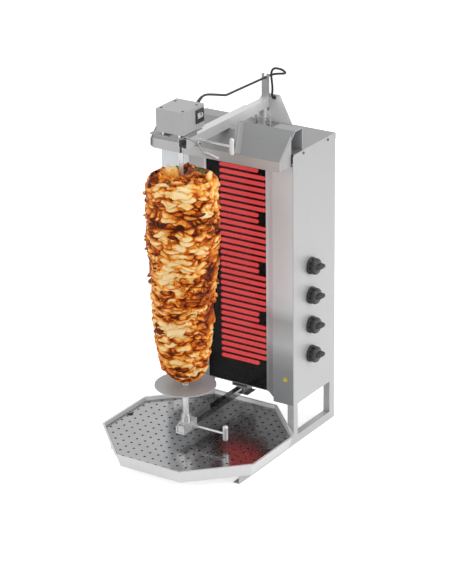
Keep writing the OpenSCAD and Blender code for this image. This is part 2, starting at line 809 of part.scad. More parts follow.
// Switch frame with the opening that the rocker turns in
rocker_d = 21;
rocker_l = 26;
rocker_inset = 6;
rocker_x = motor_x - rocker_inset;
rocker_share = 0.62;
frame_t = 3;
body_depth = 20;
module switch_frame() {
    color(black) difference() {
        union() {
            translate([motor_x, switch_y - switch_w / 2, switch_z - switch_h / 2]) cube([frame_t, switch_w, switch_h]);
            translate([motor_x - body_depth, switch_y - switch_body_w / 2 + fit, switch_z - switch_body_h / 2 + fit])
                cube([body_depth, switch_body_w - 2 * fit, switch_body_h - 2 * fit]);
        }
        bar_y([rocker_x, switch_y - rocker_l / 2 - fit, switch_z], rocker_l + 2 * fit, rocker_d + 2 * fit);
        translate([rocker_x, switch_y - rocker_l / 2 - fit, switch_z - rocker_d / 2 - fit])
            cube([2 * body_depth, rocker_l + 2 * fit, rocker_d + 2 * fit]);
    }
}
module switch_rocker() {
    pin = frame_t;
    color("#d0d2d4") difference() {
        bar_y([rocker_x, switch_y - rocker_l / 2, switch_z], rocker_l, rocker_d);
        translate([rocker_x + rocker_d * rocker_share, switch_y, switch_z + rocker_d / 3])
            rotate([90, 0, 0]) cylinder(h = rocker_l - 2 * pin, d = rocker_d, center = true);
    }
}

// Gland of the motor's cord
gland_reach = 9;
gland_rim = 3;
module cord_gland() {
    color(black) difference() {
        union() {
            bar_y([cord_x, motor_back, cord_z], gland_reach, 2 * cord_dia + gland_rim);
            bar_y([cord_x, motor_back - 2 * casing_t, cord_z], 2 * casing_t + gland_reach, 2 * cord_dia - 2 * fit);
        }
        bar_y([cord_x, motor_back - 2 * casing_t - cut, cord_z], 3 * gland_reach, cord_dia + 2 * run_fit);
    }
}

// Drive shaft with its driver finger and the pin that enters the spit
driver_rise = 27;
pin_depth = 18;
drive_low = spit_top + driver_rise;
pin_dia = 6;
pin_low = spit_top - pin_depth;
finger_x = 11;
finger_d = 5;
finger_angle = 128;
module drive_shaft() {
    color(black) union() {
        bar_z([0, spit_y, drive_low], gear_low + gear_h / 2 - drive_low, shaft_dia);
        bar_z([0, spit_y, pin_low], drive_low - pin_low + cut, pin_dia);
        translate([0, spit_y, drive_low + finger_d / 2]) rotate([0, finger_angle, 0])
            cylinder(h = finger_x + finger_d, d = finger_d);
    }
}

// Lever that lifts the drive shaft: front rod, hub, lower rod and grip
lever_x = arm_x + fit;
lever_w = boss_l - sheet - 2 * fit;
lever_front_reach = 67;
lever_front_rise = 34;
lever_back_reach = 29;
lever_back_drop = 40;
lever_front = [0, -lever_front_reach, lever_front_rise];
lever_down = [0, lever_back_reach, -lever_back_drop];
lever_rod = 5;
lever_grip = 9;
lever_grip_l = 56;
lever_grip_drop = 12;
module rod(from, to, d) {
    v = to - from;
    translate(from) rotate([0, atan2(sqrt(v.x * v.x + v.y * v.y), v.z), atan2(v.y, v.x)])
        cylinder(h = norm(v), d = d);
}
module release_lever() {
    mid = [lever_x + lever_w / 2, lever_y, lever_z];
    color("#dcdddf") difference() {
        union() {
            bar_x([lever_x, lever_y, lever_z], lever_w, 2 * lever_pin + sheet);
            rod(mid, mid + lever_front, lever_rod);
            rod(mid, mid + lever_down, lever_rod);
            translate(mid + lever_down) sphere(d = lever_grip);
            rod(mid + lever_down, mid + lever_down + [lever_grip_l, 0, -lever_grip_drop], lever_grip);
        }
        bar_x([lever_x - cut, lever_y, lever_z], lever_w + 2 * cut, lever_pin + 2 * run_fit);
    }
}

// Clamp handle: a rod along X that ends in an upright grip with round ends
module clamp_handle(start, y, z, grip_d, low, high) {
    color("#dcdddf") union() {
        bar_x([start, y, z], arm_x + clamp_rod - start, rod_d);
        translate([arm_x + clamp_rod + grip_d / 2 - sheet, y, z]) union() {
            translate([0, 0, -low]) cylinder(h = low + high, d = grip_d);
            for (e = [-low, high]) translate([0, 0, e]) sphere(d = grip_d);
        }
    }
}
grip_end = 6;
module upper_clamp_handle() {
    clamp_handle(inner_w / 2 + fit, clamp_y, clamp_z, grip_dia - sheet / 2, grip_l / 2 - grip_end, grip_l / 2 - grip_end);
}

// Lower carriage: a sleeve with a wedge nose and the boss of its clamp
sleeve_wall = 5;
sleeve = guide_w + 2 * sleeve_wall;
sleeve_x = sleeve / 2;
sleeve_top = guide_mid + sleeve_x;
sleeve_reach = 34;
sleeve_tail = 36;
sleeve_front = spit_y - sleeve_reach;
sleeve_back = spit_y + sleeve_tail;
nose = 20;
module lower_carriage() {
    hole = guide_w + 2 * fit;
    color(steel) difference() {
        union() {
            translate([-sleeve_x, 0, 0]) rotate([90, 0, 90]) linear_extrude(sleeve)
                polygon([[sleeve_front, sleeve_top - sleeve], [sleeve_back, sleeve_top - sleeve],
                    [sleeve_back, sleeve_top], [sleeve_front + nose, sleeve_top],
                    [sleeve_front, sleeve_top - nose / 2]]);
            bar_x([sleeve_x, lower_clamp_y, guide_mid - guide_w / 4], boss_l, boss_d);
        }
        translate([-hole / 2, sleeve_front - cut, guide_mid - hole / 2])
            cube([hole, sleeve_back - sleeve_front + 2 * cut, hole]);
        bar_x([0, lower_clamp_y, guide_mid - guide_w / 4], sleeve_x + boss_l + cut, rod_d + 2 * run_fit);
    }
}

// Bearing on the carriage that holds the spit's foot
bearing_d = 30;
bearing_h = 22;
foot_gap = 6;
foot_dia = 12;
module spit_bearing() {
    color("#a9abad") difference() {
        bar_z([0, spit_y, sleeve_top], bearing_h, bearing_d);
        bar_z([0, spit_y, sleeve_top + foot_gap], bearing_h, foot_dia + 2 * run_fit);
    }
}
lower_grip_dia = 17;
lower_grip_low = 16;
lower_grip_high = 20;
module lower_clamp_handle() {
    clamp_handle(guide_w / 2 + fit, lower_clamp_y, guide_mid - guide_w / 4, lower_grip_dia,
        lower_grip_low, lower_grip_high);
}

// Spit: thick foot with a stub, thin upper part, open at the top
foot_low = sleeve_top + bearing_h;
spit_step = disc_top;
top_bore = 4;
module spit_rod() {
    color("#d4d6d8") difference() {
        union() {
            bar_z([0, spit_y, sleeve_top + foot_gap + fit], bearing_h, foot_dia);
            bar_z([0, spit_y, foot_low + fit], spit_step - foot_low - fit, spit_low_dia);
            bar_z([0, spit_y, spit_step], spit_top - spit_step, spit_top_dia);
        }
        bar_z([0, spit_y, pin_low - sheet], spit_top, spit_top_dia - top_bore);
    }
}
module spit_disc() {
    color("#c4c6c8") difference() {
        bar_z([0, spit_y, disc_top - disc_t], disc_t, disc_dia);
        bar_z([0, spit_y, disc_top - disc_t - cut], disc_t + 2 * cut, spit_low_dia + 2 * run_fit);
    }
}
collar_h = 18;
collar_d = 32;
module disc_collar() {
    color("#8d8f91") difference() {
        bar_z([0, spit_y, disc_top - disc_t - collar_h], collar_h, collar_d);
        bar_z([0, spit_y, disc_top - disc_t - collar_h - cut], collar_h + 2 * cut, spit_low_dia + 2 * run_fit);
    }
}

// Meat: shares of the greatest radius at shares of the height, from the foot to the top
meat_low = disc_top;
meat_h = arm_low - meat_gap - meat_low;
meat_shape = [[0, 0.5], [0.01, 0.54], [0.06, 0.58], [0.12, 0.68], [0.2, 0.77], [0.3, 0.82], [0.38, 0.86],
    [0.48, 0.9], [0.6, 0.94], [0.72, 0.97], [0.84, 0.99], [0.9, 1], [0.95, 0.95], [0.99, 0.84], [1, 0.76]];
module meat_stack() {
    bore = spit_top_dia / 2 + fit;
    color("#a85a20") translate([0, spit_y, meat_low]) rotate_extrude()
        polygon(concat([[bore, 0]], [for (p = meat_shape) [p.y * meat_dia / 2, p.x * meat_h]], [[bore, meat_h]]));
}

// Knob: skirt, hub and a pointer blade along Y that stands out and back, on a stem
skirt_h = 8;
hub_d = 44;
hub_h = 26;
blade_w = 14;
blade_low = 20;
blade_front = 12;
blade_back = 36;
blade_nose = 7;
blade_root = 26;
module knob(k) {
    z = knob_top - (k - 1) * knob_pitch;
    color(black) union() {
        bar_x([knob_xs, knob_y, z], skirt_h, knob_dia);
        bar_x([knob_xs, knob_y, z], hub_h, hub_d);
        translate([knob_xs, knob_y, z - blade_w / 2]) linear_extrude(blade_w)
            polygon([[blade_low, -blade_front], [hub_h + blade_nose, -blade_front], [knob_h, -blade_front + blade_nose],
                [knob_h, blade_back - blade_nose], [knob_h - blade_nose, blade_back],
                [hub_h, blade_root], [blade_low, blade_root - blade_nose]]);
        bar_x([cab_x - stem_l, knob_y, z], stem_l + skirt_h, regulator_shaft);
    }
}
module knob_1() { knob(1); }
module knob_2() { knob(2); }
module knob_3() { knob(3); }
module knob_4() { knob(4); }

// Cord of the motor: a tube swept along points in three runs: from the gland of the casing, straight
// back over the arm, and from the fork round a loose loop to the back plate
cord_sides = 10;
cord_out = [[0, -2, 0], [0, 13, 0], [0, 24, 5], [-1, 38, 14], [-2, 54, 20], [-3, 70, 21.5], [-3.5, 86, 19.5],
    [-4, 112, 12.5], [-4.5, 140, 4], [-5, 168, -4.5], [-5, 194, -11]];
cord_shares = [0.25, 0.5, 0.75];
cord_in = [[0, -14, 0], [0, 0, 0], [1.5, 6.5, 0.8], [6, 13, 2.8], [12.5, 16.6, 5.5], [21, 17.8, 8.4], [31, 18.2, 10.8],
    [41, 18.4, 12.7], [50, 18.4, 14.3], [57, 16.9, 16.2], [62.1, 13, 19.8], [63.8, 8, 24.4], [61.95, 3.15, 29.3],
    [57, -0.4, 33.1], [50, -1.7, 34.6], [41, -1.8, 34.8], [34, -1.8, 33.6], [27.6, -1.8, 29.4], [23.4, -1.7, 22.6],
    [21.8, -1.4, 14], [21.8, -0.7, 3], [22.4, 0.4, -9], [22.9, 1.7, -21], [22.8, 2.9, -32], [22, 3.6, -42],
    [21, 3.8, -51]];
cord_end = [[20.4, 5.65, -6.9], [20, 10.7, -11.95], [20, 17.6, -14]];
cord_end_rise = 27;
cord_start_at = [cord_x, motor_back, cord_z];
cord_notch_at = [0, guide_end + sheet, fork_notch + cord_dia / 2 + fit];
cord_end_at = [0, guide_end + sheet, arm_mid + cord_end_rise];
cord_first = [for (p = cord_out) cord_start_at + p];
cord_loop = concat([for (p = cord_in) cord_notch_at + p], [for (p = cord_end) cord_end_at + p]);
cord_span = [for (s = cord_shares) (1 - s) * cord_first[len(cord_first) - 1] + s * cord_loop[0]];
cord_points = concat(cord_first, cord_span, cord_loop);
function unit(v) = v / norm(v);
function along(p, i) = unit(p[min(i + 1, len(p) - 1)] - p[max(i - 1, 0)]);
function sides_of(p, i, n) = i == len(p) ? [] :
    let (t = along(p, i), m = unit(n - (n * t) * t)) concat([m], sides_of(p, i + 1, m));
function least_gap(p, apart) = min([for (i = [0 : len(p) - 1 - apart], j = [i + apart : len(p) - 1]) norm(p[i] - p[j])]);
echo(cord_least_gap = least_gap(cord_points, 6) - cord_dia);
module tube(p, d, n) {
    side = sides_of(p, 0, [0, 0, 1]);
    last = (len(p) - 1) * n;
    points = [for (i = [0 : len(p) - 1]) let (t = along(p, i), u = side[i], v = cross(t, u))
        for (k = [0 : n - 1]) p[i] + d / 2 * (cos(k * 360 / n) * u + sin(k * 360 / n) * v)];
    walls = [for (i = [0 : len(p) - 2], k = [0 : n - 1]) let (a = i * n + k, b = i * n + (k + 1) % n)
        for (f = [[a, a + n, b], [b, a + n, b + n]]) f];
    caps = [for (k = [1 : n - 2]) each [[0, k, k + 1], [last, last + k + 1, last + k]]];
    polyhedron(points, concat(walls, caps));
}
module motor_cord() { color(black) tube(cord_points, cord_dia, cord_sides); }

side_frame_right();
side_frame_left();
front_panel_right();
front_panel_left();
bottom_plate();
top_cover();
back_panel();
hood();
heater_box();
heater_glass();
heating_board();
heating_bars_1();
heating_bars_2();
heating_bars_3();
heating_bars_4();
regulator_1();
regulator_2();
regulator_3();
regulator_4();
terminal_block();
indicator_lamp();
mains_gland();
panel_screws();
arm_back_plate();
arm_post();
upper_guide_tube();
cord_fork();
lower_guide_tube();
lower_guide_bracket();
drip_tray();
perforated_plate();
upper_arm_tube();
motor_plate();
motor_spacers();
motor_casing();
motor_lid();
lid_screws();
drive_motor();
gearbox();
switch_frame();
cord_gland();
drive_shaft();
switch_rocker();
release_lever();
upper_clamp_handle();
lower_carriage();
spit_bearing();
lower_clamp_handle();
spit_rod();
spit_disc();
disc_collar();
meat_stack();
knob_1();
knob_2();
knob_3();
knob_4();
motor_cord();
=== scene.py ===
# %% [markdown]
# # An electric doner kebab grill
# The machine stands on two runners. A steel cabinet holds four glowing heater zones behind black
# glass, a spit with a tall stack of meat turns in front of it, and an eight-sided tray catches what
# falls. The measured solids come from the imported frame. This script dresses them with finishes and
# adds the pieces that solids alone can't show: the meat, the knobs, the cord and small hardware.

# %% Load the frame
import math
import random

import bmesh
import bpy
from mathutils import Matrix, Vector, noise


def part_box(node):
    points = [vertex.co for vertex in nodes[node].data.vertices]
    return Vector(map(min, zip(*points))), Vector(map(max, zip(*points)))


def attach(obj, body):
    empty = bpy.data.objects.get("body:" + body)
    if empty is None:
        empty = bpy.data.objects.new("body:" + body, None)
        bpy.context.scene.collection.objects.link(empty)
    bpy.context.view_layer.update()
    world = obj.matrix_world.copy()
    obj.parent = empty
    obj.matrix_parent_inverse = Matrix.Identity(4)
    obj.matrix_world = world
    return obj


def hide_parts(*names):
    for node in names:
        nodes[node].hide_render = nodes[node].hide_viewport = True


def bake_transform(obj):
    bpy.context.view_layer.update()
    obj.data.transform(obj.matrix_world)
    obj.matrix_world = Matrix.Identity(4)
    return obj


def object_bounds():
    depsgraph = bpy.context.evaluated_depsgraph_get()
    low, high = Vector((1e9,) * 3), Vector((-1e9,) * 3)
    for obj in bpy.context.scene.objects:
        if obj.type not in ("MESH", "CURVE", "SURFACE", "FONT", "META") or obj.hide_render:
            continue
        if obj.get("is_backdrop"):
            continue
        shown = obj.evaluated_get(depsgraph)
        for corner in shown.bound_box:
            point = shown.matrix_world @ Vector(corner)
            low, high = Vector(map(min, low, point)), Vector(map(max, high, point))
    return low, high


# One of Blender's noise functions takes its seed from the clock, unless a seed is set first.
NOISE_SEED = 7
noise.seed_set(NOISE_SEED)
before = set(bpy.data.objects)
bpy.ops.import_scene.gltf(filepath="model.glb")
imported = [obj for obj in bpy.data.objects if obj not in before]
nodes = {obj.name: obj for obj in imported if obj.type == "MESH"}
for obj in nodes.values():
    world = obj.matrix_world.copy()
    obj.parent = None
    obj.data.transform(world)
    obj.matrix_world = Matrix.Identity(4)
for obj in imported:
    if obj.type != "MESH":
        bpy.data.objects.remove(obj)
solid_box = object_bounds()

# %% [markdown]
# ## The camera
# The photograph was taken from the front right and a little above, with a long lens, so upright
# edges stay almost parallel. The angles and the distance were fitted to corners all over the machine.
# The point that the camera aims at lies near the middle of the machine.

# %% Camera
AZIMUTH, ELEVATION, ROLL = 33.04, 22.32, -0.76
DISTANCE = 7.392
AIM = Vector((0, 0, 0.5))
SIDE_STEP, UP_STEP = 0.0509, -0.0057
FRAME_HEIGHT_PX, FOCAL_PX, SENSOR_MM = 584, 2465, 36
FAR_CLIP = 60

azimuth, elevation = math.radians(AZIMUTH), math.radians(ELEVATION)
forward = Vector((-math.sin(azimuth) * math.cos(elevation),
                  math.cos(azimuth) * math.cos(elevation), -math.sin(elevation)))
right = Vector((math.cos(azimuth), math.sin(azimuth), 0))
up = right.cross(forward)
camera = bpy.data.objects.new("camera", bpy.data.cameras.new("camera"))
bpy.context.scene.collection.objects.link(camera)
bpy.context.scene.camera = camera
camera.data.sensor_width = SENSOR_MM
camera.data.lens = FOCAL_PX / FRAME_HEIGHT_PX * SENSOR_MM
camera.data.clip_end = FAR_CLIP
camera.location = AIM - forward * DISTANCE + right * SIDE_STEP + up * UP_STEP
camera.rotation_mode = "QUATERNION"
turn = forward.to_track_quat("-Z", "Y").to_matrix()
camera.rotation_quaternion = (turn @ Matrix.Rotation(math.radians(ROLL), 3, "Z")).to_quaternion()
print("camera at", [round(v, 3) for v in camera.location])

# %% [markdown]
# ## Mesh helpers
# New pieces are built in a bmesh, which is a mesh in the making. When it is done, its faces are
# turned outwards, it is written into a mesh, and an object shows that mesh. The object stays at the
# origin, and its place is in its points.


# %% Small mesh helpers
def new_object(name, mesh):
    obj = bpy.data.objects.new(name, mesh)
    bpy.context.scene.collection.objects.link(obj)
    return obj


def mesh_from(bm, name, smooth=True):
    bmesh.ops.recalc_face_normals(bm, faces=bm.faces[:])
    mesh = bpy.data.meshes.new(name)
    bm.to_mesh(mesh)
    bm.free()
    for polygon in mesh.polygons:
        polygon.use_smooth = smooth
    return new_object(name, mesh)


print("mesh helpers ready")

# %% [markdown]
# ## The motor's cord
# A thin black lead leaves the back of the motor casing, sags a little over the arm, rests in the notch
# of the fork and ends in the plate behind it, after one loose loop that gives the arm room to slide.
# Its route repeats the points of the solid, in millimetres. A smooth line through them is given a
# round section. Rubber sleeves keep it from kinking at both ends; the front sleeve moves with the arm
# and the rear one stays with the cabinet.

# %% Cord route
CORD_DIAMETER = 0.007
ROUTE_MM = [
    (5, -84, 1094), (5, -69, 1094), (5, -58, 1099), (4, -44, 1108), (3, -28, 1114), (2, -12, 1115.5),
    (1.5, 4, 1113.5), (1, 30, 1106.5), (0.5, 58, 1098), (0, 86, 1089.5), (0, 112, 1083),
    (0, 162.3, 1082), (0, 212.5, 1081), (0, 262.8, 1080), (0, 313, 1079), (0, 327, 1079),
    (1.5, 333.5, 1079.8), (6, 340, 1081.8), (12.5, 343.6, 1084.5), (21, 344.8, 1087.4),
    (31, 345.2, 1089.8), (41, 345.4, 1091.7), (50, 345.4, 1093.3), (57, 343.9, 1095.2),
    (62.1, 340, 1098.8), (63.8, 335, 1103.4), (62, 330.2, 1108.3), (57, 326.6, 1112.1),
    (50, 325.3, 1113.6), (41, 325.2, 1113.8), (34, 325.2, 1112.6), (27.6, 325.2, 1108.4),
    (23.4, 325.3, 1101.6), (21.8, 325.6, 1093), (21.8, 326.3, 1082), (22.4, 327.4, 1070),
    (22.9, 328.7, 1058), (22.8, 329.9, 1047), (22, 330.6, 1037), (21, 330.8, 1028),
    (20.4, 332.6, 1021.1), (20, 337.7, 1016), (20, 344.6, 1014)]
FINE_STEPS = 5


def smooth_line(points, steps):
    """Catmull-Rom points between the given ones."""
    line = []
    for k in range(len(points) - 1):
        a, b, c, d = (points[min(max(k + j, 0), len(points) - 1)] for j in (-1, 0, 1, 2))
        for j in range(steps):
            t = j / steps
            line.append(0.5 * ((2 * b) + (c - a) * t + (2 * a - 5 * b + 4 * c - d) * t * t
                               + (3 * b - a - 3 * c + d) * t ** 3))
    return line + [points[-1]]


route = smooth_line([Vector(p) / 1000 for p in ROUTE_MM], FINE_STEPS)
print("cord route:", len(route), "points")


# %% Tube helper
def tube_along(name, line, radii, sides=6):
    """A round tube along a line. Its radius may change from point to point."""
    curve = bpy.data.curves.new(name + "_line", "CURVE")
    curve.dimensions = "3D"
    spline = curve.splines.new("POLY")
    spline.points.add(len(line) - 1)
    for point, co, radius in zip(spline.points, line, radii):
        point.co = (*co, 1)
        point.radius = radius
    curve.bevel_depth = 1
    curve.bevel_resolution = sides
    curve.use_fill_caps = True
    carrier = bpy.data.objects.new(name + "_line", curve)
    bpy.context.scene.collection.objects.link(carrier)
    bpy.context.view_layer.update()
    mesh = bpy.data.meshes.new_from_object(carrier)
    bpy.data.objects.remove(carrier)
    for polygon in mesh.polygons:
        polygon.use_smooth = True
    mesh.name = name
    return new_object(name, mesh)


print("tube helper ready")

# %% The cord's mesh
cord = tube_along("motor_lead", route, [CORD_DIAMETER / 2] * len(route))
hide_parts("motor_cord")
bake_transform(cord)

# %% Sleeves at both ends of the cord
SLEEVE_MOUTH, SLEEVE_TIP, SLEEVE_START, SLEEVE_POINTS = 0.0066, 0.0042, 3, 19
GROOVE_DEPTH, GROOVE_EVERY = 0.0006, 4
GROMMET_RADII = [0.0044, 0.0048, 0.0052, 0.0056, 0.006, 0.0064]
front_line = route[SLEEVE_START:SLEEVE_START + SLEEVE_POINTS]
front_radii = [SLEEVE_MOUTH + (SLEEVE_TIP - SLEEVE_MOUTH) * k / (SLEEVE_POINTS - 1)
               - (GROOVE_DEPTH if k % GROOVE_EVERY == 2 else 0) for k in range(SLEEVE_POINTS)]
front_sleeve = tube_along("lead_sleeve", front_line, front_radii, sides=8)
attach(front_sleeve, "upper_arm")
rear_line = route[-len(GROMMET_RADII):]
rear_sleeve = tube_along("lead_grommet", rear_line, GROMMET_RADII, sides=8)
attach(rear_sleeve, "cabinet")
print("sleeves:", len(front_line), "and", len(rear_line), "points")

# %% [markdown]
# ## The floor
# A product photograph has a white floor that runs into a white wall. Here the floor is a wide disc
# under the runners, and it is declared as stage, so it isn't part of the machine.

# %% Floor
FLOOR_RADIUS, FLOOR_SIDES = 9, 96
disc = bmesh.new()
bmesh.ops.create_circle(disc, cap_ends=True, segments=FLOOR_SIDES, radius=FLOOR_RADIUS)
floor = mesh_from(disc, "floor", smooth=False)
floor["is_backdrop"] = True
print("floor:", FLOOR_RADIUS, "m in radius")

# %% [markdown]
# ## Material helpers
# A material is a small graph of nodes. These helpers make a node and set its values, read a noise
# pattern from Object coordinates, turn a factor into colours or into a range of numbers, and lead a
# height into the shader's normal. Object coordinates are used because they stay with the piece when
# it moves, and because they need no unwrapping.


# %% Node helpers
def new_material(name):
    material = bpy.data.materials.new(name)
    material.use_nodes = True
    tree = material.node_tree
    return material, tree, tree.nodes["Principled BSDF"]


def node(tree, kind, **values):
    made = tree.nodes.new(kind)
    for key, value in values.items():
        if hasattr(made, key):
            setattr(made, key, value)
        else:
            made.inputs[key.replace("_", " ")].default_value = value
    return made


def grain(tree, scale, stretch, detail=4.0, rough=0.6):
    """Noise from 0 to 1 in Object coordinates. A small number in stretch draws it out that way."""
    place = node(tree, "ShaderNodeTexCoord")
    mapping = node(tree, "ShaderNodeMapping")
    mapping.inputs["Scale"].default_value = stretch
    tree.links.new(place.outputs["Object"], mapping.inputs["Vector"])
    pattern = node(tree, "ShaderNodeTexNoise", Scale=scale, Detail=detail, Roughness=rough)
    tree.links.new(mapping.outputs["Vector"], pattern.inputs["Vector"])
    return pattern.outputs["Fac"]


def ramp(tree, factor, stops):
    made = node(tree, "ShaderNodeValToRGB")
    made.color_ramp.elements.remove(made.color_ramp.elements[1])
    for index, (place, colour) in enumerate(stops):
        element = made.color_ramp.elements[0] if index == 0 else made.color_ramp.elements.new(place)
        element.position = place
        element.color = (*colour, 1)
    tree.links.new(factor, made.inputs["Fac"])
    return made.outputs["Color"]


def bump(tree, shader, height, strength, distance):
    made = node(tree, "ShaderNodeBump", Strength=strength, Distance=distance)
    tree.links.new(height, made.inputs["Height"])
    tree.links.new(made.outputs["Normal"], shader.inputs["Normal"])


def span(tree, factor, low, high):
    made = node(tree, "ShaderNodeMapRange")
    made.inputs["To Min"].default_value = low
    made.inputs["To Max"].default_value = high
    tree.links.new(factor, made.inputs["Value"])
    return made.outputs["Result"]


print("node helpers ready")

# %% [markdown]
# ## White ground, sky and lamps
# The floor's own colour is pale. Rays from the camera, from a mirror and through glass see a little
# light of its own on top, so the ground looks white and still keeps the soft shadow of the runners.
# The world is pale grey as a light and white to the eye. Three large lamps, from the front left, the
# right and above, give the steel its slow gradients: a small lamp would leave hard spots on it.


# %% Floor material
FLOOR_DARK, FLOOR_LIGHT = (0.85, 0.85, 0.85), (0.87, 0.87, 0.87)
SEEN_FLOOR, MIRRORED_FLOOR = 0.6, 0.42


def seen_or_mirrored(tree, light_path):
    """1 for rays from the camera, from a mirror or through glass, and 0 for the light itself."""
    found = light_path.outputs["Is Camera Ray"]
    for kind in ("Is Glossy Ray", "Is Transmission Ray"):
        either = node(tree, "ShaderNodeMath", operation="MAXIMUM")
        tree.links.new(found, either.inputs[0])
        tree.links.new(light_path.outputs[kind], either.inputs[1])
        found = either.outputs[0]
    return found


def pale_floor():
    material, tree, shader = new_material("pale floor")
    shader.inputs["Roughness"].default_value = 0.9
    shader.inputs["Specular IOR Level"].default_value = 0.1
    soft = grain(tree, 3, (1, 1, 1), detail=2)
    colour = ramp(tree, soft, [(0.3, FLOOR_DARK), (0.7, FLOOR_LIGHT)])
    tree.links.new(colour, shader.inputs["Base Color"])
    seen = node(tree, "ShaderNodeLightPath")
    glow = node(tree, "ShaderNodeEmission")
    strength = span(tree, seen.outputs["Is Camera Ray"], MIRRORED_FLOOR, SEEN_FLOOR)
    tree.links.new(strength, glow.inputs["Strength"])
    only_seen = node(tree, "ShaderNodeMixShader")
    nothing = node(tree, "ShaderNodeEmission", Strength=0.0)
    both = node(tree, "ShaderNodeAddShader")
    tree.links.new(seen_or_mirrored(tree, seen), only_seen.inputs["Fac"])
    tree.links.new(nothing.outputs["Emission"], only_seen.inputs[1])
    tree.links.new(glow.outputs["Emission"], only_seen.inputs[2])
    tree.links.new(only_seen.outputs["Shader"], both.inputs[0])
    tree.links.new(shader.outputs["BSDF"], both.inputs[1])
    tree.links.new(both.outputs["Shader"], tree.nodes["Material Output"].inputs["Surface"])
    return material


floor.data.materials.append(pale_floor())
print("floor materials:", len(floor.data.materials))

# %% World
WORLD_GREY, WORLD_STRENGTH, WHITE_STRENGTH = (0.78, 0.78, 0.79, 1), 0.75, 1.0
world = bpy.data.worlds.new("studio")
bpy.context.scene.world = world
world.use_nodes = True
sky = world.node_tree
background = sky.nodes["Background"]
background.inputs["Color"].default_value = WORLD_GREY
background.inputs["Strength"].default_value = WORLD_STRENGTH
white = node(sky, "ShaderNodeBackground", Strength=WHITE_STRENGTH)
white.inputs["Color"].default_value = (1, 1, 1, 1)
path = node(sky, "ShaderNodeLightPath")
swap = node(sky, "ShaderNodeMixShader")
sky.links.new(seen_or_mirrored(sky, path), swap.inputs["Fac"])
sky.links.new(background.outputs["Background"], swap.inputs[1])
sky.links.new(white.outputs["Background"], swap.inputs[2])
sky.links.new(swap.outputs["Shader"], sky.nodes["World Output"].inputs["Surface"])
print("world:", world.name)


# %% Lamps
def lamp(name, place, aim, size, watts):
    light = bpy.data.lights.new(name, "AREA")
    light.shape = "RECTANGLE"
    light.size, light.size_y = size
    light.energy = watts
    obj = new_object(name, light)
    obj.location = place
    obj.rotation_euler = (Vector(aim) - Vector(place)).to_track_quat("-Z", "Y").to_euler()
    return obj


lamps = [lamp("front left lamp", (-2.9, -3.6, 2.6), (0, 0, 0.5), (2.6, 2.6), 52),
         lamp("right lamp", (3.8, 0.9, 2.2), (0.1, 0.1, 0.5), (2.2, 2.6), 62),
         lamp("top lamp", (0.2, 0.4, 4.2), (0, 0, 0), (3, 3), 42)]
bpy.context.scene.view_settings.view_transform = "Standard"
print("lamps:", len(lamps))

# %% [markdown]
# ## Brushed steel
# The sheets are stainless steel, brushed along the length of each sheet. A metal has no colour of its
# own under the highlight, so much of the look comes from roughness: fine streaks change it a little,
# and a very weak bump breaks up reflections. Streaks run along one axis, which is done by squeezing a
# noise pattern in the two other axes. Each direction is its own material. The sheets also get their
# own greys, set to how light or dark each part looks, so these greys of one steel are partly painted
# light and shade. In the photograph a tall sheet isn't the same grey from top to bottom, because its
# lower part mirrors the tray and the dark room below, so some sheets are also given a tone by height,
# which is a painted reflection.


# %% Brushed steel
ALONG, ACROSS = 1.5, 160
STREAK_BUMP, STREAK_DEPTH = 0.12, 0.0002


def brushed_steel(name, colour, along, roughness=(0.42, 0.56), streak=0.035, weight=0.8):
    """Steel with streaks along an axis. streak is how far its colour wavers, weight is Metallic."""
    material, tree, shader = new_material(name)
    squeeze = [ALONG if axis == along else ACROSS for axis in "xyz"]
    streaks = grain(tree, 3.2, squeeze, detail=5, rough=0.7)
    clouds = grain(tree, 2.2, (1, 1, 1), detail=3)
    low = [max(0, c - streak) for c in colour]
    high = [min(1, c + streak) for c in colour]
    tone = ramp(tree, streaks, [(0.25, low), (0.75, high)])
    tree.links.new(tone, shader.inputs["Base Color"])
    mixed = node(tree, "ShaderNodeMath", operation="MULTIPLY")
    tree.links.new(streaks, mixed.inputs[0])
    tree.links.new(clouds, mixed.inputs[1])
    tree.links.new(span(tree, mixed.outputs[0], *roughness), shader.inputs["Roughness"])
    shader.inputs["Metallic"].default_value = weight
    bump(tree, shader, streaks, STREAK_BUMP, STREAK_DEPTH)
    return material


print("streaks are", ACROSS / ALONG, "times finer across than along")


# %% Painted light over a sheet
def painted_light_multiply(tree, shader, painted_tones):
    """Multiplies the colour that a shader already has by a tone of painted light."""
    product = node(tree, "ShaderNodeMix", data_type="RGBA", blend_type="MULTIPLY", Factor=1.0)
    tree.links.new(shader.inputs["Base Color"].links[0].from_socket, product.inputs["A"])
    tree.links.new(painted_tones, product.inputs["B"])
    tree.links.new(product.outputs["Result"], shader.inputs["Base Color"])


def painted_reflection_by_height(material, stops):
    """Multiplies a sheet's colour by a painted reflection that changes with height: stops are (metres,
    tone).
    """
    tree = material.node_tree
    shader = tree.nodes["Principled BSDF"]
    place = node(tree, "ShaderNodeTexCoord")
    split = node(tree, "ShaderNodeSeparateXYZ")
    tree.links.new(place.outputs["Object"], split.inputs[0])
    painted_tones = ramp(tree, split.outputs["Z"], [(height, (tone, tone, tone)) for height, tone in stops])
    painted_light_multiply(tree, shader, painted_tones)
    return material


def dress(material, *names):
    """A CAD node keeps its mesh; only its material slots are filled."""
    for name in names:
        slots = nodes[name].data.materials
        slots.clear()
        slots.append(material)


print("tone helpers ready")

